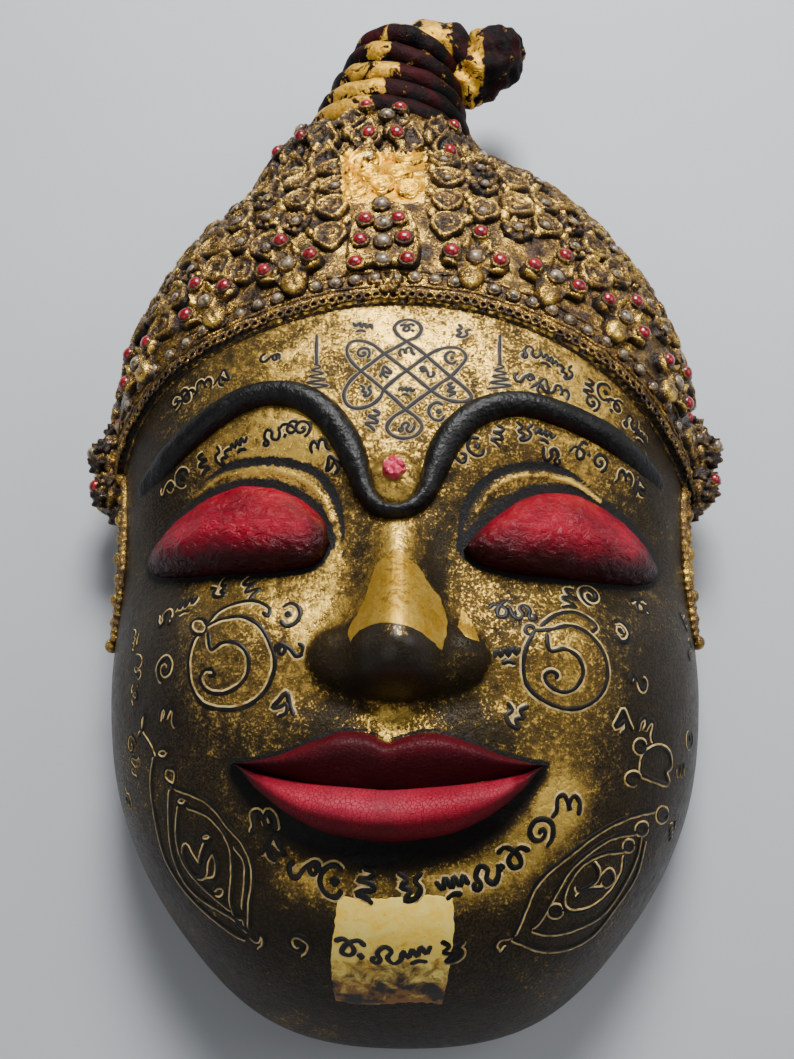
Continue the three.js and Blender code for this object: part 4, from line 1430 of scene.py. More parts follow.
def makeBorder():
    path, places, _ = alongHairline(border["cord"])
    lengths = lengthsAlong(places)
    link = ringModel("link_model", *border["link"], 12)
    links = []
    for x, y in stepsAlong(path, lengths, int(lengths[-1] / border["linkStep"])):
        links.append(setStone(link, frontFrame(x, y), 0, 0, 0.8))
    dropModel(link)
    made = [joinPieces("crown_chain", links)]
    gild(made[0], border["cordGold"], 4.0, 0.3)
    for name, rise, radius, gold in border["lines"]:
        _, places, normals = alongHairline(rise)
        made.append(makeTube(name, places, normals, radius, radius * 0.1, 5.2))
        gild(made[-1], gold, 4.0, 0.3)
    path, _, _ = alongHairline(border["band"])
    lengths = lengthsAlong(path)
    studs = stepsAlong(path, lengths, int(lengths[-1] / border["studStep"]))
    return made, [frontFrame(x, y) for x, y in studs]


borderPieces, bandSpots = makeBorder()
print("crown border made")


# a stone is its radius, height, facets and the cells of its net; a ring its radius, thickness and steps
stoneWork = {
    "stones": {
        "red": (2.9, 2.2, 8, 12), "clear": (2.9, 2.0, 0, 12), "small": (1.9, 1.3, 0, 7),
        "stud": (2.0, 1.5, 0, 7), "templeRed": (2.8, 2.0, 8, 12), "templeClear": (2.6, 1.8, 0, 12),
    },
    "rings": {"ring": (3.2, 0.85, 20), "smallRing": (2.3, 0.85, 12)},
}


def stoneModel(name):
    radius, height, facets, cells = stoneWork["stones"][name]

    def shape(a, b):
        rho, phi = squareToDisc(a, b)
        z = height * np.clip(1 - rho ** 2.6, 0, None) ** 0.55
        if facets:
            z = np.minimum(z, height * (1.5 - rho * 1.1 * (1 + 0.05 * np.cos(phi * facets))))
        return np.stack([radius * rho * np.cos(phi), radius * rho * np.sin(phi) - shiftY, z], -1)

    piece = gridPiece(name + "_model", cells, cells, shape)
    closeBelow(piece, 1.2)
    return piece


def makeStoneMaterial(name, deep, bright, roughness, glass):
    material, place = newMaterial(name)
    cloud = place.noise(520.0, 3.0, 0.5).spread(0.35, 0.65)
    rough = place.noise(1500.0, 3.0).spread(0.3, 0.7, roughness * 0.6, roughness * 1.6)
    colour = cloud.blend(deep, bright)
    return finish(material, colour=colour, rough=rough, glass=glass, coat=0.5, coatRough=0.08)


redStone = makeStoneMaterial("red_paste", rgb(86, 2, 10), rgb(176, 8, 26), 0.26, 0.15)
clearStone = makeStoneMaterial("clear_paste", rgb(72, 59, 43), rgb(172, 152, 122), 0.26, 0.2)

plateStones = {
    "lappet": [("clear", 0, 1), ("red", 0, 14.5), ("red", -9.5, 1.5), ("red", 9.5, 1.5)],
    "middle": [("clear", 0, -14), ("clear", 0, -4), ("clear", 0, 6), ("clear", -1, 17), ("red", -10.5, -15),
               ("red", 9.5, -14), ("red", -9, -3), ("red", 8.2, -2.5), ("red", -7.2, 8.5), ("red", 6, 8.5)],
}
collarStones = {  # degrees round the collar and share along the knot
    "collar_left": [("red", 144, 0.19), ("red", 128, 0.205), ("clear", 138, 0.3)],
    "collar_middle": [("clear", 87, 0.27), ("red", 100, 0.35), ("red", 81, 0.33), ("red", 93, 0.15),
                      ("red", 81, 0.16)],
    "collar_right": [("red", 56, 0.13), ("red", 50, 0.315), ("clear", 36, 0.2)],
}


def joinStones(name, stones, material):
    piece = joinPieces(name, stones)
    fitMaterial(piece, material)
    smoothShade(piece)
    return piece


def makeStones():
    models = {name: stoneModel(name) for name in ("red", "clear", "small", "stud")}
    models.update({name: ringModel(name + "_model", *ring) for name, ring in stoneWork["rings"].items()})
    stones = {"red": [], "clear": []}
    nodes = {"red": [], "clear": []}
    settings = []

    def add(kind, model, ring, spot, a, b, height, *ringHeights):
        stones[kind].append(setStone(models[model], spot, a, b, height))
        for ringHeight in ringHeights:
            settings.append(setStone(models[ring], spot, a, b, ringHeight))

    for name, gems in collarStones.items():
        for k, (kind, degrees, t) in enumerate(gems):
            add(kind, kind, "ring", collarSpot(degrees, t), 0, 0, 3.6, 3.4, 2.4)
            nodes[kind].append(f"{name}_stone_{k + 1}")
    plates = [(f"lappet_{k + 1}", frontFrame(x, y, math.atan2(-x, 150)), "lappet")
              for k, (x, y) in enumerate(crownWork["lappets"])]
    for name, spot, plate in (*plates, ("crown_middle", frontFrame(*crownWork["column"]), "middle")):
        for k, (kind, a, b) in enumerate(plateStones[plate]):
            add(kind, kind, "ring", spot, a, b, 3.1, 3.1)
            nodes[kind].append(f"{name}_stone_{k + 1}")
    for spot, a, b, height in crownGems:
        add("clear", "small", "smallRing", spot, a, b, height, height)
    for spot in bandSpots:
        add("clear", "stud", "smallRing", spot, 0, 0, 0.7, 0.5)
    for model in models.values():
        dropModel(model)
    reds = joinStones("stones_red", stones["red"], redStone)
    clears = joinStones("stones_clear", stones["clear"], clearStone)
    rims = joinPieces("stone_settings", settings)
    gild(rims, 0.16, 3.0, 0.3)
    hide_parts(*nodes["red"])
    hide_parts(*nodes["clear"])
    return reds, clears, rims


reds, clears, rims = makeStones()


# the stone of the forehead, a rough cluster of flat-topped lobes
urna = {
    "at": (-1.5, -45.5),
    "out": 2.5,
    "lobes": [(0.5, 2.0), (1.7, 1.8), (3.0, 2.1), (4.2, 1.8), (5.3, 2.0)],  # angle and size
}


def makeUrnaGem():
    out = urna["out"]
    lobes = [(out * math.cos(turn), out * math.sin(turn), size) for turn, size in urna["lobes"]]

    def shape(a, b):
        rho, phi = squareToDisc(a, b)
        r = rho * (4.1 + 0.25 * np.cos(5 * phi + 0.8))
        x, y = r * np.cos(phi), r * np.sin(phi)
        z = 1.6 * np.clip(1 - rho ** 3, 0, None) ** 0.5
        for cx, cy, size in ((0.2, 0.1, 2.2), *lobes):
            flat = np.minimum(bump(x, y, cx, cy, size, size, 2.3), 1.9 - 0.35 * (x - cx))
            z = np.maximum(z, 1.2 * smoothStep(1, 0.9, rho) + flat)
        return np.stack([x, y - shiftY, z], -1)

    model = gridPiece("urna_model", 44, 44, shape)
    closeBelow(model, 1.5)
    gem = nameIt(setStone(model, frontFrame(*urna["at"]), 0, 0, 0.2), "urna_gem")
    dropModel(model)
    smoothShade(gem, 24)
    fitMaterial(gem, makeStoneMaterial("urna_paste", rgb(168, 4, 34), rgb(240, 84, 118), 0.16, 0.1))
    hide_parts("forehead_stone_1")
    return gem


urnaGem = makeUrnaGem()
print("stones set")


# where points in millimetres stand in the photograph
def toPixels(points):
    apart = points - np.array(shot["place"], float)
    scale = shot["focal"] / (apart @ shotLook)
    return shot["width"] / 2 + scale * (apart @ shotSide), shot["height"] / 2 - scale * (apart @ shotUp)


def leafOver(piece, square):
    p = meshPoints(piece) / mm
    p[:, 1] -= shiftY
    ragged = lumps(p, 5.0, 2.5)
    across, down = toPixels(p)
    across, down = across + ragged, down + ragged
    left, top, right, bottom = square
    inside = (across > left) & (across < right) & (down > top) & (down < bottom) & (p[:, 2] > 20)
    crest = piece.data.attributes["crest"].data
    values = np.empty(len(p), dtype=np.float32)
    crest.foreach_get("value", values)
    # the fresh leaf goes only where the crown is not already dark, so the recesses of the relief keep their
    # dark: painted shade in the creases
    values[inside & (values > -0.28)] += 1.6
    crest.foreach_set("value", values)


for piece in (shell, *crownPieces, knotPieces[-1]):
    leafOver(piece, crownWork["leafSquare"])


# painted marks: raised strokes of dark paint with a pale edge, none of them a letter
strokes = {
    "dark": 0.84, "pale": 1.2, "step": 0.7, "darkLift": 0.24, "paleLift": 0.12,
    "rows": [(-1.25, None), (-0.8, 0.8), (0, 1), (0.8, 0.8), (1.25, None)],  # across, and share of the lift
    "sink": -0.18,
}

skin = BVHTree.FromObject(shell, bpy.context.evaluated_depsgraph_get())


def onSkin(places):
    near, normals = [], []
    for place in toScene(places):
        spot, normal, _, _ = skin.find_nearest(Vector(place))
        near.append(spot)
        normals.append(normal)
    near = np.array(near) / mm
    near[:, 1] -= shiftY
    return near, np.array(normals)


def evenSteps(path, step):
    lengths = lengthsAlong(path)
    count = max(3, int(lengths[-1] / step) + 1)
    return columnsAt(np.linspace(0, lengths[-1], count), lengths, path)


strokeNets = {name: ([], []) for name in ("ink_dark", "ink_pale", "ink_forehead", "ink_forehead_edge")}


# one brush stroke along a path on the face: a low ridge whose edges go under the gilding
def brush(kind, path, half, lift, side=0.0, seed=0):
    spots, normals = onSkin(evenSteps(np.array(path, float), strokes["step"]))
    lean = unit(np.gradient(spots, axis=0))
    across = unit(np.cross(lean, normals))
    count = len(spots)
    reach = np.linspace(0, 1, count)
    swell = np.array([1 + 0.28 * noise.noise(Vector((k * 0.31, seed * 1.7, 0.5))) for k in range(count)])
    ends = np.clip(np.minimum(reach, 1 - reach) * count * 0.8 + 0.25, 0, 1) ** 0.5
    wide = half * swell * ends
    verts, faces = strokeNets[kind]
    start = len(verts)
    for offset, share in strokes["rows"]:
        row, rowNormals = onSkin(spots + across * (wide * offset + side)[:, None])
        verts.extend((row + rowNormals * (strokes["sink"] if share is None else lift * share)).tolist())
    for row in range(len(strokes["rows"]) - 1):
        for a in range(start + row * count, start + row * count + count - 1):
            faces.append((a, a + 1, a + 1 + count, a + count))


# a stroke in dark paint with its pale edge, to one side of it or, on the forehead, all round it
def paintStroke(path, size=1.0, forehead=False, side=0.45, seed=0):
    edge, dark = ("ink_forehead_edge", "ink_forehead") if forehead else ("ink_pale", "ink_dark")
    wide, off = (1.0, 0) if forehead else (0.92, side * size)
    brush(edge, path, strokes["pale"] * size * wide, strokes["paleLift"], off, seed)
    brush(dark, path, strokes["dark"] * size, strokes["darkLift"], 0, seed)


# a drawing given in its own squares: its corner in the photograph, squares to a pixel, and its lines
def paintDrawing(drawing):
    looks = {key: drawing[key] for key in ("size", "forehead", "side") if key in drawing}
    for k, line in enumerate(drawing["lines"]):
        pixels = smoothPath(np.array(line, float) / drawing["zoom"] + drawing["corner"], 6)
        paintStroke(onCarving(pixels), **looks, seed=k)


def ringOf(cx, cy, rx, ry, start=0, turn=350):
    angles = [math.radians(start + turn * k / 8) for k in range(9)]
    return [(cx + rx * math.cos(angle), cy + ry * math.sin(angle)) for angle in angles]


loopKnot = {
    "corner": (330, 310), "zoom": 9, "size": 0.9, "forehead": True,
    "lines": [
        [(690, 285), (610, 225), (580, 160), (625, 108), (705, 88), (790, 118), (822, 178), (780, 245),
         (700, 283), (790, 350), (870, 415), (980, 510), (1085, 600), (1180, 675), (1255, 745), (1270, 795),
         (1215, 825), (1110, 822), (1010, 790), (910, 725), (800, 635), (690, 545), (580, 460), (480, 385),
         (380, 310), (270, 277), (185, 295), (152, 370), (190, 460), (280, 550), (380, 630), (480, 715),
         (580, 800), (680, 895), (780, 970), (828, 1050), (770, 1130), (650, 1155), (550, 1120), (512, 1050),
         (570, 965), (680, 895), (790, 810), (910, 725), (1000, 655), (1085, 600), (1180, 500), (1225, 425),
         (1170, 352), (1065, 338), (960, 365), (870, 415), (780, 480), (690, 545), (590, 620), (490, 710),
         (450, 790), (360, 860), (240, 885), (155, 850), (125, 760), (175, 650), (280, 550), (380, 475),
         (480, 400), (580, 345), (690, 285)],
    ],
}
cheekSpirals = [
    {
        "corner": (110, 590), "zoom": 4.5, "size": 0.9,
        "lines": [
            ringOf(400, 165, 38, 36),
            [(430, 165), (500, 132), (600, 122), (680, 170), (730, 270), (740, 350), (700, 450), (620, 520),
             (520, 538), (420, 515), (365, 430), (352, 330), (370, 240), (398, 195)],
            [(440, 150), (490, 95), (570, 60), (650, 50), (715, 80), (710, 118), (688, 98)],
            [(440, 190), (455, 268), (505, 238), (570, 240), (618, 290), (620, 370), (580, 430), (510, 465),
             (440, 455), (405, 405), (425, 362), (462, 358), (468, 385), (442, 382)],
        ],
    },
    {
        "corner": (480, 590), "zoom": 4.5, "size": 0.9, "side": -0.45,
        "lines": [
            ringOf(225, 180, 22, 20),
            [(245, 182), (320, 178), (400, 160), (480, 190), (550, 270), (575, 370), (550, 460), (480, 520),
             (390, 535), (290, 500), (212, 430), (195, 330), (215, 240), (240, 200)],
            [(270, 165), (340, 112), (420, 100), (490, 130), (525, 170), (500, 192)],
            [(300, 195), (315, 272), (380, 265), (440, 300), (465, 370), (430, 440), (370, 460), (312, 430),
             (290, 388), (318, 364), (350, 382), (338, 402)],
        ],
    },
]
jawLeaves = [
    {
        "corner": (110, 590), "zoom": 4.5, "size": 0.8,
        "lines": [
            [(288, 885), (245, 850), (250, 802), (290, 808), (296, 850), (282, 888)],
            [(290, 888), (400, 930), (470, 980), (530, 1060), (600, 1140), (640, 1230), (645, 1320),
             (632, 1420), (628, 1530)],
            [(272, 900), (268, 1020), (282, 1180), (330, 1300), (400, 1380), (480, 1430), (560, 1478),
             (620, 1540)],
            ringOf(322, 950, 22, 22),
            [(345, 972), (440, 1012), (512, 1090), (548, 1180), (552, 1300), (545, 1400), (562, 1465)],
            [(310, 975), (302, 1110), (330, 1220), (395, 1310), (470, 1380), (545, 1440)],
            [(560, 1150), (610, 1225), (612, 1330), (600, 1440)],
            [(200, 755), (186, 860), (200, 1000), (240, 1180), (300, 1300), (380, 1400), (480, 1490),
             (560, 1548), (610, 1572)],
            [(562, 1470), (600, 1480), (608, 1520), (580, 1512), (562, 1478)],
            [(632, 1560), (660, 1580), (672, 1550), (694, 1572), (690, 1608), (668, 1622)],
            [(200, 752), (172, 690), (142, 640), (138, 585), (155, 560), (150, 620), (128, 660)],
            ringOf(236, 736, 24, 24),
            ringOf(432, 1112, 22, 20),
            [(428, 1140), (410, 1200), (400, 1240), (365, 1190), (342, 1150), (330, 1185), (345, 1240),
             (390, 1290), (425, 1280), (432, 1220), (462, 1180), (482, 1240), (472, 1300), (430, 1308)],
            ringOf(490, 1362, 28, 30, 200, 300),
        ],
    },
    {
        "corner": (480, 590), "zoom": 4.5, "size": 0.85, "side": -0.45,
        "lines": [
            ringOf(822, 1012, 24, 28),
            [(790, 990), (700, 1010), (600, 1050), (500, 1112), (400, 1190), (300, 1272), (242, 1340),
             (200, 1440), (150, 1556)],
            ringOf(730, 1075, 24, 22),
            [(708, 1090), (600, 1110), (500, 1170), (400, 1262), (330, 1380), (272, 1480), (230, 1522)],
            ringOf(670, 1152, 20, 20),
            [(650, 1172), (560, 1182), (462, 1230), (400, 1312), (372, 1400), (400, 1448), (480, 1440),
             (570, 1380), (636, 1280), (652, 1190)],
            [(722, 1110), (704, 1200), (650, 1320), (560, 1450), (450, 1515), (330, 1545), (235, 1530)],
            [(742, 1130), (700, 1290), (600, 1440), (510, 1550), (400, 1610), (280, 1618), (145, 1568)],
            ringOf(340, 1445, 28, 22),
            [(140, 1560), (84, 1572), (66, 1608), (90, 1640), (122, 1602)],
            [(510, 1225), (532, 1270), (518, 1312), (452, 1352), (432, 1330)],
            [(540, 1300), (580, 1262), (602, 1300), (572, 1330), (548, 1312)],
            [(430, 1385), (480, 1352), (560, 1345)],
            [(722, 820), (738, 745), (800, 705), (848, 730), (860, 790), (835, 820), (848, 870), (800, 860),
             (726, 830)],
            ringOf(722, 705, 24, 26),
            ringOf(690, 850, 30, 24, 60, 300),
        ],
    },
]

# small flourishes in a square from -1 to 1, made up for this mask
flourishes = [
    [[(-1, 0.1), (-0.7, 0.6), (-0.35, 0.5), (-0.3, 0.1), (-0.6, -0.1), (-0.75, 0.2), (-0.4, 0.45), (0, 0.1),
      (0.3, -0.5), (0.7, -0.5), (0.9, 0), (0.6, 0.3)]],
    [[(-0.1, -0.1), (0.15, 0.1), (0.3, -0.15), (0, -0.45), (-0.45, -0.3), (-0.6, 0.2), (-0.2, 0.65),
      (0.4, 0.6), (0.8, 0.2), (0.7, -0.5), (0.3, -0.9)]],
    [[(-1, -0.2), (-0.75, 0.4), (-0.5, -0.1), (-0.2, 0.5), (0, -0.1), (0.3, 0.55), (0.55, 0),
      (0.9, 0.5)], [(-0.5, -0.6), (0, -0.45), (0.5, -0.65)]],
    [[(0.6, 0.6), (0.1, 0.9), (-0.5, 0.6), (-0.7, 0), (-0.4, -0.6), (0.2, -0.8), (0.6, -0.4)], [(-0.1, -0.1),
      (0.15, 0.2), (0.3, 0), (0, -0.15)]],
    [[(-0.9, -0.5), (-0.9, 0.2), (-0.5, 0.6), (-0.2, 0.2), (-0.3, -0.3), (-0.1, 0.2), (0.2, 0.6), (0.6, 0.4),
      (0.6, -0.3), (0.9, -0.7)]],
    [[(-0.6, -0.2), (-0.8, -0.5), (-0.5, -0.7), (-0.3, -0.4), (-0.5, 0.1), (-0.1, 0.6), (0.3, 0.3),
      (0.1, -0.2), (0.5, -0.6), (0.9, -0.2), (1, 0.5)]],
    [[(0.1, 0.95), (-0.5, 0.7), (-0.2, 0.4), (0.4, 0.35), (-0.3, 0.1), (-0.5, -0.2), (0.1, -0.25),
      (0.5, -0.4), (0, -0.6), (-0.4, -0.95)]],
    [[(-0.8, -0.6), (-0.3, 0.1), (0.1, 0.8), (0.5, 0.2), (0.8, -0.3), (0.3, -0.2), (-0.1, 0.1), (-0.2, -0.5),
      (0.3, -0.85)]],
    [[(-0.9, 0.3), (-0.3, 0.55), (0.3, 0), (0.1, -0.5), (-0.4, -0.4), (-0.2, 0.2), (0.5, 0.65),
      (0.95, 0.3)], [(0.5, -0.5), (0.8, -0.35), (0.7, -0.7)]],
    [[(-0.7, 0.8), (-0.2, 0.4), (-0.5, 0), (0, -0.2), (-0.3, -0.7), (0.3, -0.6), (0.6, -0.1), (0.3, 0.3),
      (0.7, 0.75)]],
]


# a flourish in a square from -1 to 1, set at a pixel of the photograph
def paintFlourish(pixel, half, k, turn=0.0, size=1.0, forehead=False, side=0.3, flip=False):
    centre, normals = onSkin(onCarving([pixel]))
    normal = normals[0]
    across = unit(shotSide - normal * shotSide.dot(normal))
    up = np.cross(normal, across)
    c, s = math.cos(turn), math.sin(turn)
    for line in flourishes[k % len(flourishes)]:
        flat = smoothPath(line, 5) * half
        if flip:
            flat[:, 0] *= -1
        a, b = flat[:, 0] * c - flat[:, 1] * s, flat[:, 0] * s + flat[:, 1] * c
        paintStroke(centre[0] + a[:, None] * across + b[:, None] * up, size, forehead, side, k)


# where flourishes stand, in pixels: each row's half size, its first flourish and the step to the next, the
# range of their turns, the size of the brush, how far the pale edge is off and how often one is mirrored
marks = {
    "knot": {
        "half": (3.0,), "first": 1, "step": 3, "turn": (-0.3, 0.3), "brush": 0.78, "off": 0.3,
        "at": [(363, 353), (407, 352), (385, 372), (427, 372), (451, 358), (452, 390), (366, 391), (407, 391),
               (406, 427), (407, 328)],
    },
    "forehead": {
        "half": (3.8, 4.6), "first": 2, "step": 7, "turn": (-0.5, 0.3), "brush": 0.84,
        "off": 0.3, "mirror": 2,
        "at": [(362, 327), (462, 332), (372, 420), (437, 412), (270, 358), (222, 378), (203, 386), (176, 402),
               (187, 396), (530, 352), (548, 360), (566, 372), (588, 388), (604, 392), (524, 378), (541, 386),
               (560, 392), (592, 402), (616, 406), (630, 422), (640, 436)],
    },
    "underBrow": {
        "half": (3.7, 4.5), "first": 0, "step": 3, "turn": (-0.4, 0.4), "brush": 0.86,
        "off": 0.36, "mirror": 3,
        "at": [(166, 490), (182, 478), (204, 464), (222, 456), (240, 445), (270, 436), (290, 428), (302, 428),
               (320, 446), (334, 464), (455, 458), (476, 447), (497, 436), (524, 432), (546, 436), (553, 455),
               (580, 452), (600, 462), (624, 478), (640, 488)],
    },
    "cheeks": {
        "half": (4.4, 5.2), "first": 5, "step": 7, "turn": (-0.4, 0.4), "brush": 0.95,
        "off": 0.36, "mirror": 2,
        "at": [(166, 618), (186, 606), (220, 590), (252, 588), (290, 615), (290, 650), (285, 705), (168, 716),
               (165, 668), (502, 610), (524, 612), (508, 655), (516, 716), (570, 600), (622, 632), (638, 682),
               (624, 722), (648, 728), (590, 596), (640, 606)],
    },
    "lipRow": {
        "half": (5.0, 6.0), "first": 4, "step": 3, "turn": (-0.3, 0.3), "brush": 1.15,
        "off": 0.3, "mirror": 2,
        "at": [(262, 822), (272, 848), (304, 870), (332, 882), (365, 886), (410, 887), (452, 886), (484, 876),
               (514, 858), (540, 832), (566, 806)],
    },
    "chinRow": {
        "half": (5.4,), "first": 1, "step": 7, "turn": (-0.2, 0.2), "brush": 1.15, "off": 0.3,
        "at": [(298, 945), (349, 948), (386, 955), (417, 955), (452, 952)],
    },
    "edges": {
        "half": (4.4,), "first": 2, "step": 3, "turn": (1.2, 1.8), "brush": 0.6, "off": 0.3,
        "at": [(134, 640), (137, 668), (134, 695), (131, 745), (134, 765), (684, 620), (690, 650), (690, 740),
               (682, 770), (128, 800), (672, 830)],
    },
}
plainGrounds = [(330, 300, 500, 430), (330, 940, 450, 960)]  # pixels with an even pale edge round the strokes
spires = {"middles": (317, 500), "top": 335, "waves": 9}


def paintMarks():
    rng = random.Random(23)
    for drawing in (loopKnot, *cheekSpirals, *jawLeaves):
        paintDrawing(drawing)
    for row in marks.values():
        for k, pixel in enumerate(row["at"]):
            half = rng.uniform(*row["half"]) if len(row["half"]) == 2 else row["half"][0]
            turn = rng.uniform(*row["turn"])
            plain = any(a < pixel[0] < c and b < pixel[1] < d for a, b, c, d in plainGrounds)
            flip = "mirror" in row and k % row["mirror"] == 0
            which = row["first"] + row["step"] * k
            paintFlourish(pixel, half, which, turn, row["brush"], plain, row["off"], flip)
    for middle in spires["middles"]:  # a rod over a stack of waves
        top = spires["top"]
        rod = [(middle, top), (middle - 0.5, top + 15), (middle, top + 31)]
        waves = []
        for k in range(spires["waves"]):
            wide = 3 + 1.25 * k
            waves.append((middle + (wide if k % 2 else -wide), top + 29 + k * 3.1))
        paintStroke(onCarving(smoothPath(rod, 4)), 0.85, True)
        paintStroke(onCarving(smoothPath(waves, 5)), 0.6, True)


# so many strokes are made as one net for each paint
def makeInk(name, material):
    verts, faces = strokeNets[name]
    mesh = bpy.data.meshes.new(name)
    mesh.from_pydata(toScene(verts).tolist(), [], faces)
    piece = addObject(name, mesh)
    with editing(piece):
        bpy.ops.mesh.normals_make_consistent(inside=False)
    smoothShade(piece)
    fitMaterial(piece, material)
    return piece


def makeInkMaterial(name, thin, full, roughness, low, high):
    material, place = newMaterial(name)
    colour = place.noise(300.0, 5.0, 0.7).spread(low, high).blend(full, thin)
    bumps = (place.noise(1500.0, 3.0), 0.3, 0.0002)
    return finish(material, bumps, colour=colour, rough=roughness, specular=0.22)


paintMarks()
inks = {
    "ink_pale": (rgb(104, 82, 42), rgb(210, 180, 116), 0.55, 0.42, 0.66),
    "ink_dark": (rgb(46, 38, 26), rgb(14, 14, 14), 0.42, 0.5, 0.72),
    "ink_forehead_edge": (rgb(160, 128, 72), rgb(166, 150, 120), 0.55, 0.42, 0.66),
    "ink_forehead": (rgb(70, 60, 38), rgb(40, 39, 38), 0.6, 0.52, 0.72),
}
inkPieces = [makeInk(name, makeInkMaterial(name, *looks)) for name, looks in inks.items()]
print("marks painted", sum(len(piece.data.polygons) for piece in inkPieces))


# squares of gold leaf stuck on by visitors, each by its four sides in pixels
leafSheets = {
    "leaf_chin": {
        "left": [(337, 896), (333, 930), (330, 965), (335, 1001)],
        "right": [(453, 897), (455, 930), (450, 968), (443, 1005)],
        "top": [(337, 896), (380, 898), (420, 894), (453, 897)],
        "bottom": [(335, 1001), (370, 1006), (410, 1003), (443, 1005)],
    },
    "leaf_nose": {
        "left": [(391, 552), (377, 564), (368, 588), (360, 609), (348, 630), (350, 643)],
        "right": [(399, 552), (409, 559), (420, 568), (430, 584), (441, 600), (448, 626), (442, 652)],
        "top": [(391, 552), (395, 550), (399, 552)],
        "bottom": [(350, 643), (360, 631), (377, 624), (395, 624), (414, 629), (429, 639), (442, 652)],
    },
    "leaf_shard": {
        "left": [(461, 609), (460, 618), (457, 626)],
        "right": [(463, 610), (472, 623), (480, 642)],
        "top": [(461, 609), (462, 609), (463, 610)],
        "bottom": [(457, 626), (467, 637), (480, 642)],
    },
}


def makeLeafSheet(name, sheet):
    sides = {side: smoothPath(path, 8) for side, path in sheet.items()}

    def along(side, t):
        return columnsAt(t, np.linspace(0, 1, len(sides[side])), sides[side])

    def shape(a, b):
        u, v = (a + 1) / 2, (1 - b) / 2
        edge = np.minimum(np.minimum(u, 1 - u), np.minimum(v, 1 - v))
        across, down = u[:, None], v[:, None]
        pixels = mix(along("left", v), along("right", v), across)
        pixels += mix(along("top", u), along("bottom", u), down)
        first, last = (mix(sides[side][0], sides[side][-1], across) for side in ("top", "bottom"))
        pixels -= mix(first, last, down)
        torn = np.array([noise.noise(Vector((p[0] * 0.16, p[1] * 0.16, 3))) for p in pixels])
        pixels += np.stack([torn, torn[::-1]], -1) * 1.5
        spots, normals = onSkin(onCarving(pixels))
        return spots + normals * np.where(edge < 0.001, -0.1, 0.1 + lumps(spots, 3.0, 0.03))[:, None]

    piece = gridPiece(name, 70, 70, shape)
    smoothShade(piece)
    fitMaterial(piece, leafGold)
    return piece


def makeLeafGold():
    material, place = newMaterial("fresh_leaf")
    x, y = place.axis("X"), place.axis("Y")
    crinkle = place.noise(170.0, 6.0, 0.65, 0.8)
    # the lower part of the chin leaf goes dark orange-brown with black smudges: wear, and painted shade where
    # the leaf turns under
    chinWearAndShade = (y + crinkle.spread(0.3, 0.7, -0.008, 0.008)).spread(-0.206, -0.196, 1.0, 0.0)
    spots = chinWearAndShade * place.noise(130.0, 5.0, 0.6).spread(0.46, 0.56)
    ridge = x.step("ABSOLUTE", 0.0).spread(0.001, 0.008, 0.13, 0.0) * y.spread(-0.1, -0.094)
    scuffs = (place.noise(330.0, 5.0, 0.7, 1.0) + ridge).spread(0.63, 0.68) * 0.75
    specks = place.noise(800.0, 4.0, 0.7).spread(0.7, 0.76)
    grain = place.noise(950.0, 4.0, 0.75).spread(0.4, 0.68, 0.0, 0.45) * y.spread(-0.17, -0.14)
    colour = crinkle.spread(0.35, 0.65).blend(rgb(255, 206, 62), rgb(255, 230, 118))
    colour = (chinWearAndShade * 0.92).blend(colour, rgb(122, 68, 12))
    colour = spots.blend(colour, rgb(30, 22, 14))
    colour = scuffs.most(specks).blend(colour, rgb(84, 58, 22))
    # the nose leaf is toned to a deeper gold and made more metallic, while the chin leaf keeps the paler gold
    # and stays nearly matt: painted light that keeps the chin leaf bright where it faces away from the lamps
    colour = y.spread(-0.17, -0.14, 0.0, 0.6).blend(colour, rgb(166, 112, 8))
    colour = grain.blend(colour, rgb(116, 82, 20))
    return finish(
        material, (crinkle, 0.35, 0.0005), colour=colour, rough=crinkle.spread(0.3, 0.7, 0.44, 0.6),
        metal=y.spread(-0.17, -0.14, 0.1, 0.8) * spots.spread(0.0, 1.0, 1.0, 0.2),
    )


leafGold = makeLeafGold()
leafPieces = [makeLeafSheet(name, sheet) for name, sheet in leafSheets.items()]
print("leaf laid")


# temple rosettes, each a place and a radius, with stones by their lean and rise, and the beaded strips below
temples = {
    "lumps": [(118, 0, 36, 11.5), (124.5, -9, 36, 10.5), (122, -24, 35, 10.5), (117, -31, 32, 8)],
    "petals": [(0.1, 0.9), (0.9, 0.5), (0.6, -0.5)],
    "stones": (0, 2, 4, 7, 10),
    "strip": [(-20, 45), (-40, 47), (-58, 47), (-76, 45), (-94, 40)],
    "stripHalf": 3.6,
    "edge": (1.6, 0.25, 3.0, 110),
    "beads": (3.0, 2.2),
}


def wallPlace(y, z, sign):
    theta = math.atan2(y - head["middleY"], 121)
    low, high = 0.5, 1.0
    for _ in range(24):
        middle = (low + high) / 2
        if float(domeHeight(np.array([middle]), np.array([theta]), np.array([float(y)]))[0]) > z:
            low = middle
        else:
            high = middle
    flip = np.array([sign, 1, 1])
    share, theta = np.array([low]), np.array([theta])
    return domePoint(share, theta)[0] * flip, domeNormal(share, theta)[0] * flip


def makeRosette(k, sign, x, y, z, radius):
    selectNothing()
    bpy.ops.mesh.primitive_ico_sphere_add(subdivisions=5, radius=1)
    ball = bpy.context.object
    p = meshPoints(ball)
    phi = np.arctan2(p[:, 1], p[:, 0])
    petals = 1 - 0.09 + 0.09 * np.cos(phi * 5 + k) * np.sin(np.arccos(np.clip(p[:, 2], -1, 1)) * 2)
    out = radius * petals + lumps(p * radius + k * 9.0, 3.2, 0.9)
    places = p * out[:, None] + [sign * x, y, z]
    movePoints(ball, toScene(places))
    addShade(ball, "crest", 0.26 + lumps(places, 4.0, 0.5))
    return ball


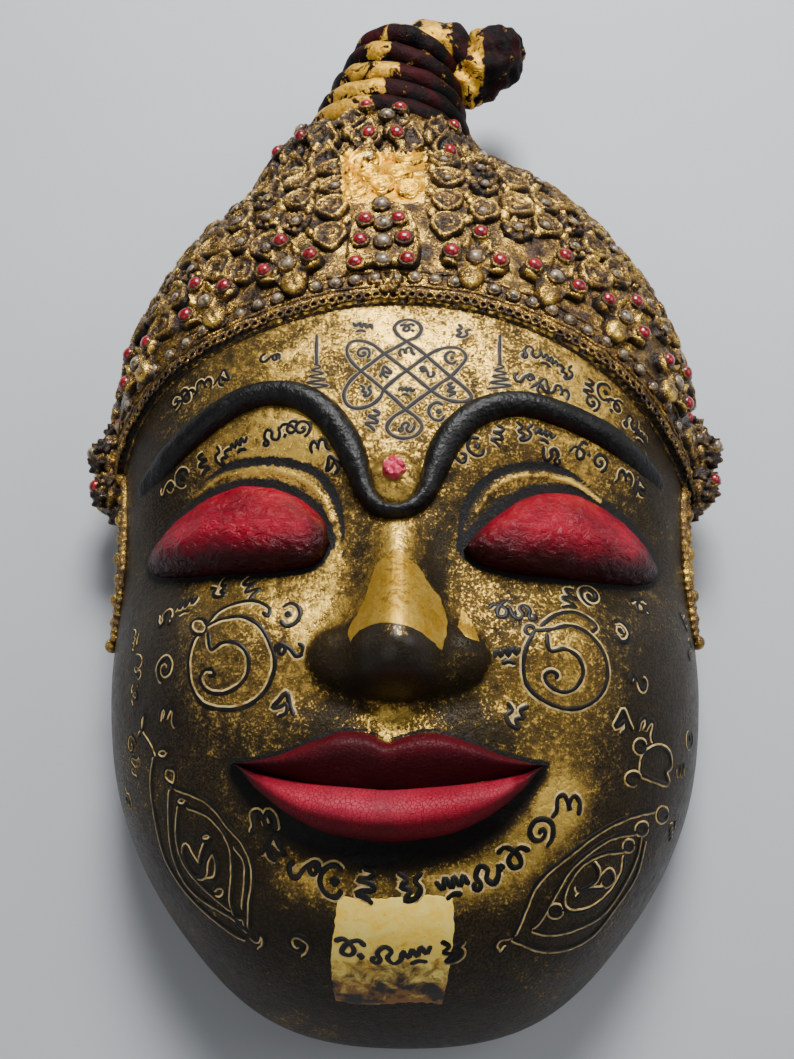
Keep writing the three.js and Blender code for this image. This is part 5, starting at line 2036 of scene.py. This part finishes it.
def petalOutline(phi):
    return 4.6 * (1 + 0.16 * np.cos(5 * phi))


def petalRelief(x, y, rho, phi):
    return 1.2 + 0.8 * np.cos(5 * phi) * rho


def makeStrip(side, sign):
    parts = []
    for off in (-temples["stripHalf"], temples["stripHalf"]):
        walls = [wallPlace(y, z + off, sign) for y, z in smoothPath(temples["strip"], 8)]
        centres, normals = (np.array(v) for v in zip(*walls))
        tube = makeTube("strip_edge_" + side, centres + normals * 0.9, normals, *temples["edge"])
        addShade(tube, "crest", 0.4 + lumps(meshPoints(tube) / mm, 4.0, 0.3))
        parts.append(tube)
    for k, (y, z) in enumerate(smoothPath(temples["strip"], 4)[::2]):
        place, normal = wallPlace(y, z, sign)
        selectNothing()
        bpy.ops.mesh.primitive_uv_sphere_add(segments=14, ring_count=8, radius=1)
        bead = bpy.context.object
        places = meshPoints(bead) * temples["beads"][k % 2] + place + normal * 1.2
        addShade(bead, "crest", np.full(len(places), 0.45))
        movePoints(bead, toScene(places))
        parts.append(bead)
    return parts


def makeTemple(side, sign):
    parts, gems = [], []
    for k, (x, y, z, radius) in enumerate(temples["lumps"]):
        parts.append(makeRosette(k, sign, x, y, z, radius))
        for lean, rise in temples["petals"]:
            normal = unit(np.array([sign * lean, rise * 0.3 - 0.2, 0.8]))
            across = unit(np.cross([0, 1, 0], normal))
            point = np.array([sign * x, y + rise * 3, z]) + normal * radius * 0.88
            gems.append({"point": point, "normal": normal, "across": across, "up": np.cross(normal, across)})
    petal = mouldOrnament("petal_model", 10, petalOutline, petalRelief)
    parts.extend(setOrnament(petal, spot, 0.95) for spot in gems)
    dropModel(petal)
    piece = joinPieces(f"temple_{side}", parts + makeStrip(side, sign))
    smoothShade(piece)
    fitMaterial(piece, crownGilding)
    return piece, [gems[k] for k in temples["stones"]]


def makeTempleStones(spots):
    models = {"red": stoneModel("templeRed"), "clear": stoneModel("templeClear")}
    made = {"red": [], "clear": []}
    for k, spot in enumerate(spots):
        kind = "red" if k % 5 in (0, 3) else "clear"
        made[kind].append(setStone(models[kind], spot, 0, 0, 1.0))
    for model in models.values():
        dropModel(model)
    return [joinStones("temple_stones_red", made["red"], redStone),
            joinStones("temple_stones_clear", made["clear"], clearStone)]


templeLeft, leftSpots = makeTemple("left", -1)
templeRight, rightSpots = makeTemple("right", 1)
templePieces = [templeLeft, templeRight, *makeTempleStones(leftSpots + rightSpots)]
print("temples made")

pieces = [shell, browRoll, *lidPieces, *lipPieces, *knotPieces, *crownPieces, *borderPieces, rims]
pieces += [*inkPieces, *leafPieces, *templePieces]
for piece in (reds, clears, urnaGem):
    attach(piece, "root")
for piece in pieces:
    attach(piece, "root")
    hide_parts("mask_body")


# floor, light and camera
studio = {
    "lights": [  # name, place, size and power
        ("crown_light", (0.08, 0.58, 0.8), 0.34, 17.0),
        ("right_light", (0.8, 0.1, 0.7), 0.6, 3.0),
        ("fill_light", (-0.5, -0.7, 0.8), 0.9, 2.1),
    ],
    "aim": (0, 0, 0.05),
    "sky": (0.86, 0.88, 0.92, 1),
    "skyPower": 0.2,
}


def addStudio():
    selectNothing()
    bpy.ops.mesh.primitive_plane_add(size=8, location=(0, 0, 0))
    floor = nameIt(bpy.context.object, "studio_floor")
    material, place = newMaterial("floor_grey")
    colour = place.noise(6.0, 3.0).blend(rgb(176, 179, 184), rgb(186, 189, 193))
    fitMaterial(floor, finish(material, colour=colour, rough=0.8))
    for name, place, size, power in studio["lights"]:
        data = bpy.data.lights.new(name, "AREA")
        data.size = size
        data.energy = power
        lamp = addObject(name, data)
        lamp.location = place
        lamp.rotation_euler = (Vector(studio["aim"]) - Vector(place)).to_track_quat("-Z", "Y").to_euler()
    world = bpy.data.worlds.new("studio_world")
    world.use_nodes = True
    world.node_tree.nodes["Background"].inputs[0].default_value = studio["sky"]
    world.node_tree.nodes["Background"].inputs[1].default_value = studio["skyPower"]
    bpy.context.scene.world = world


addStudio()
addCamera()
print("studio set")
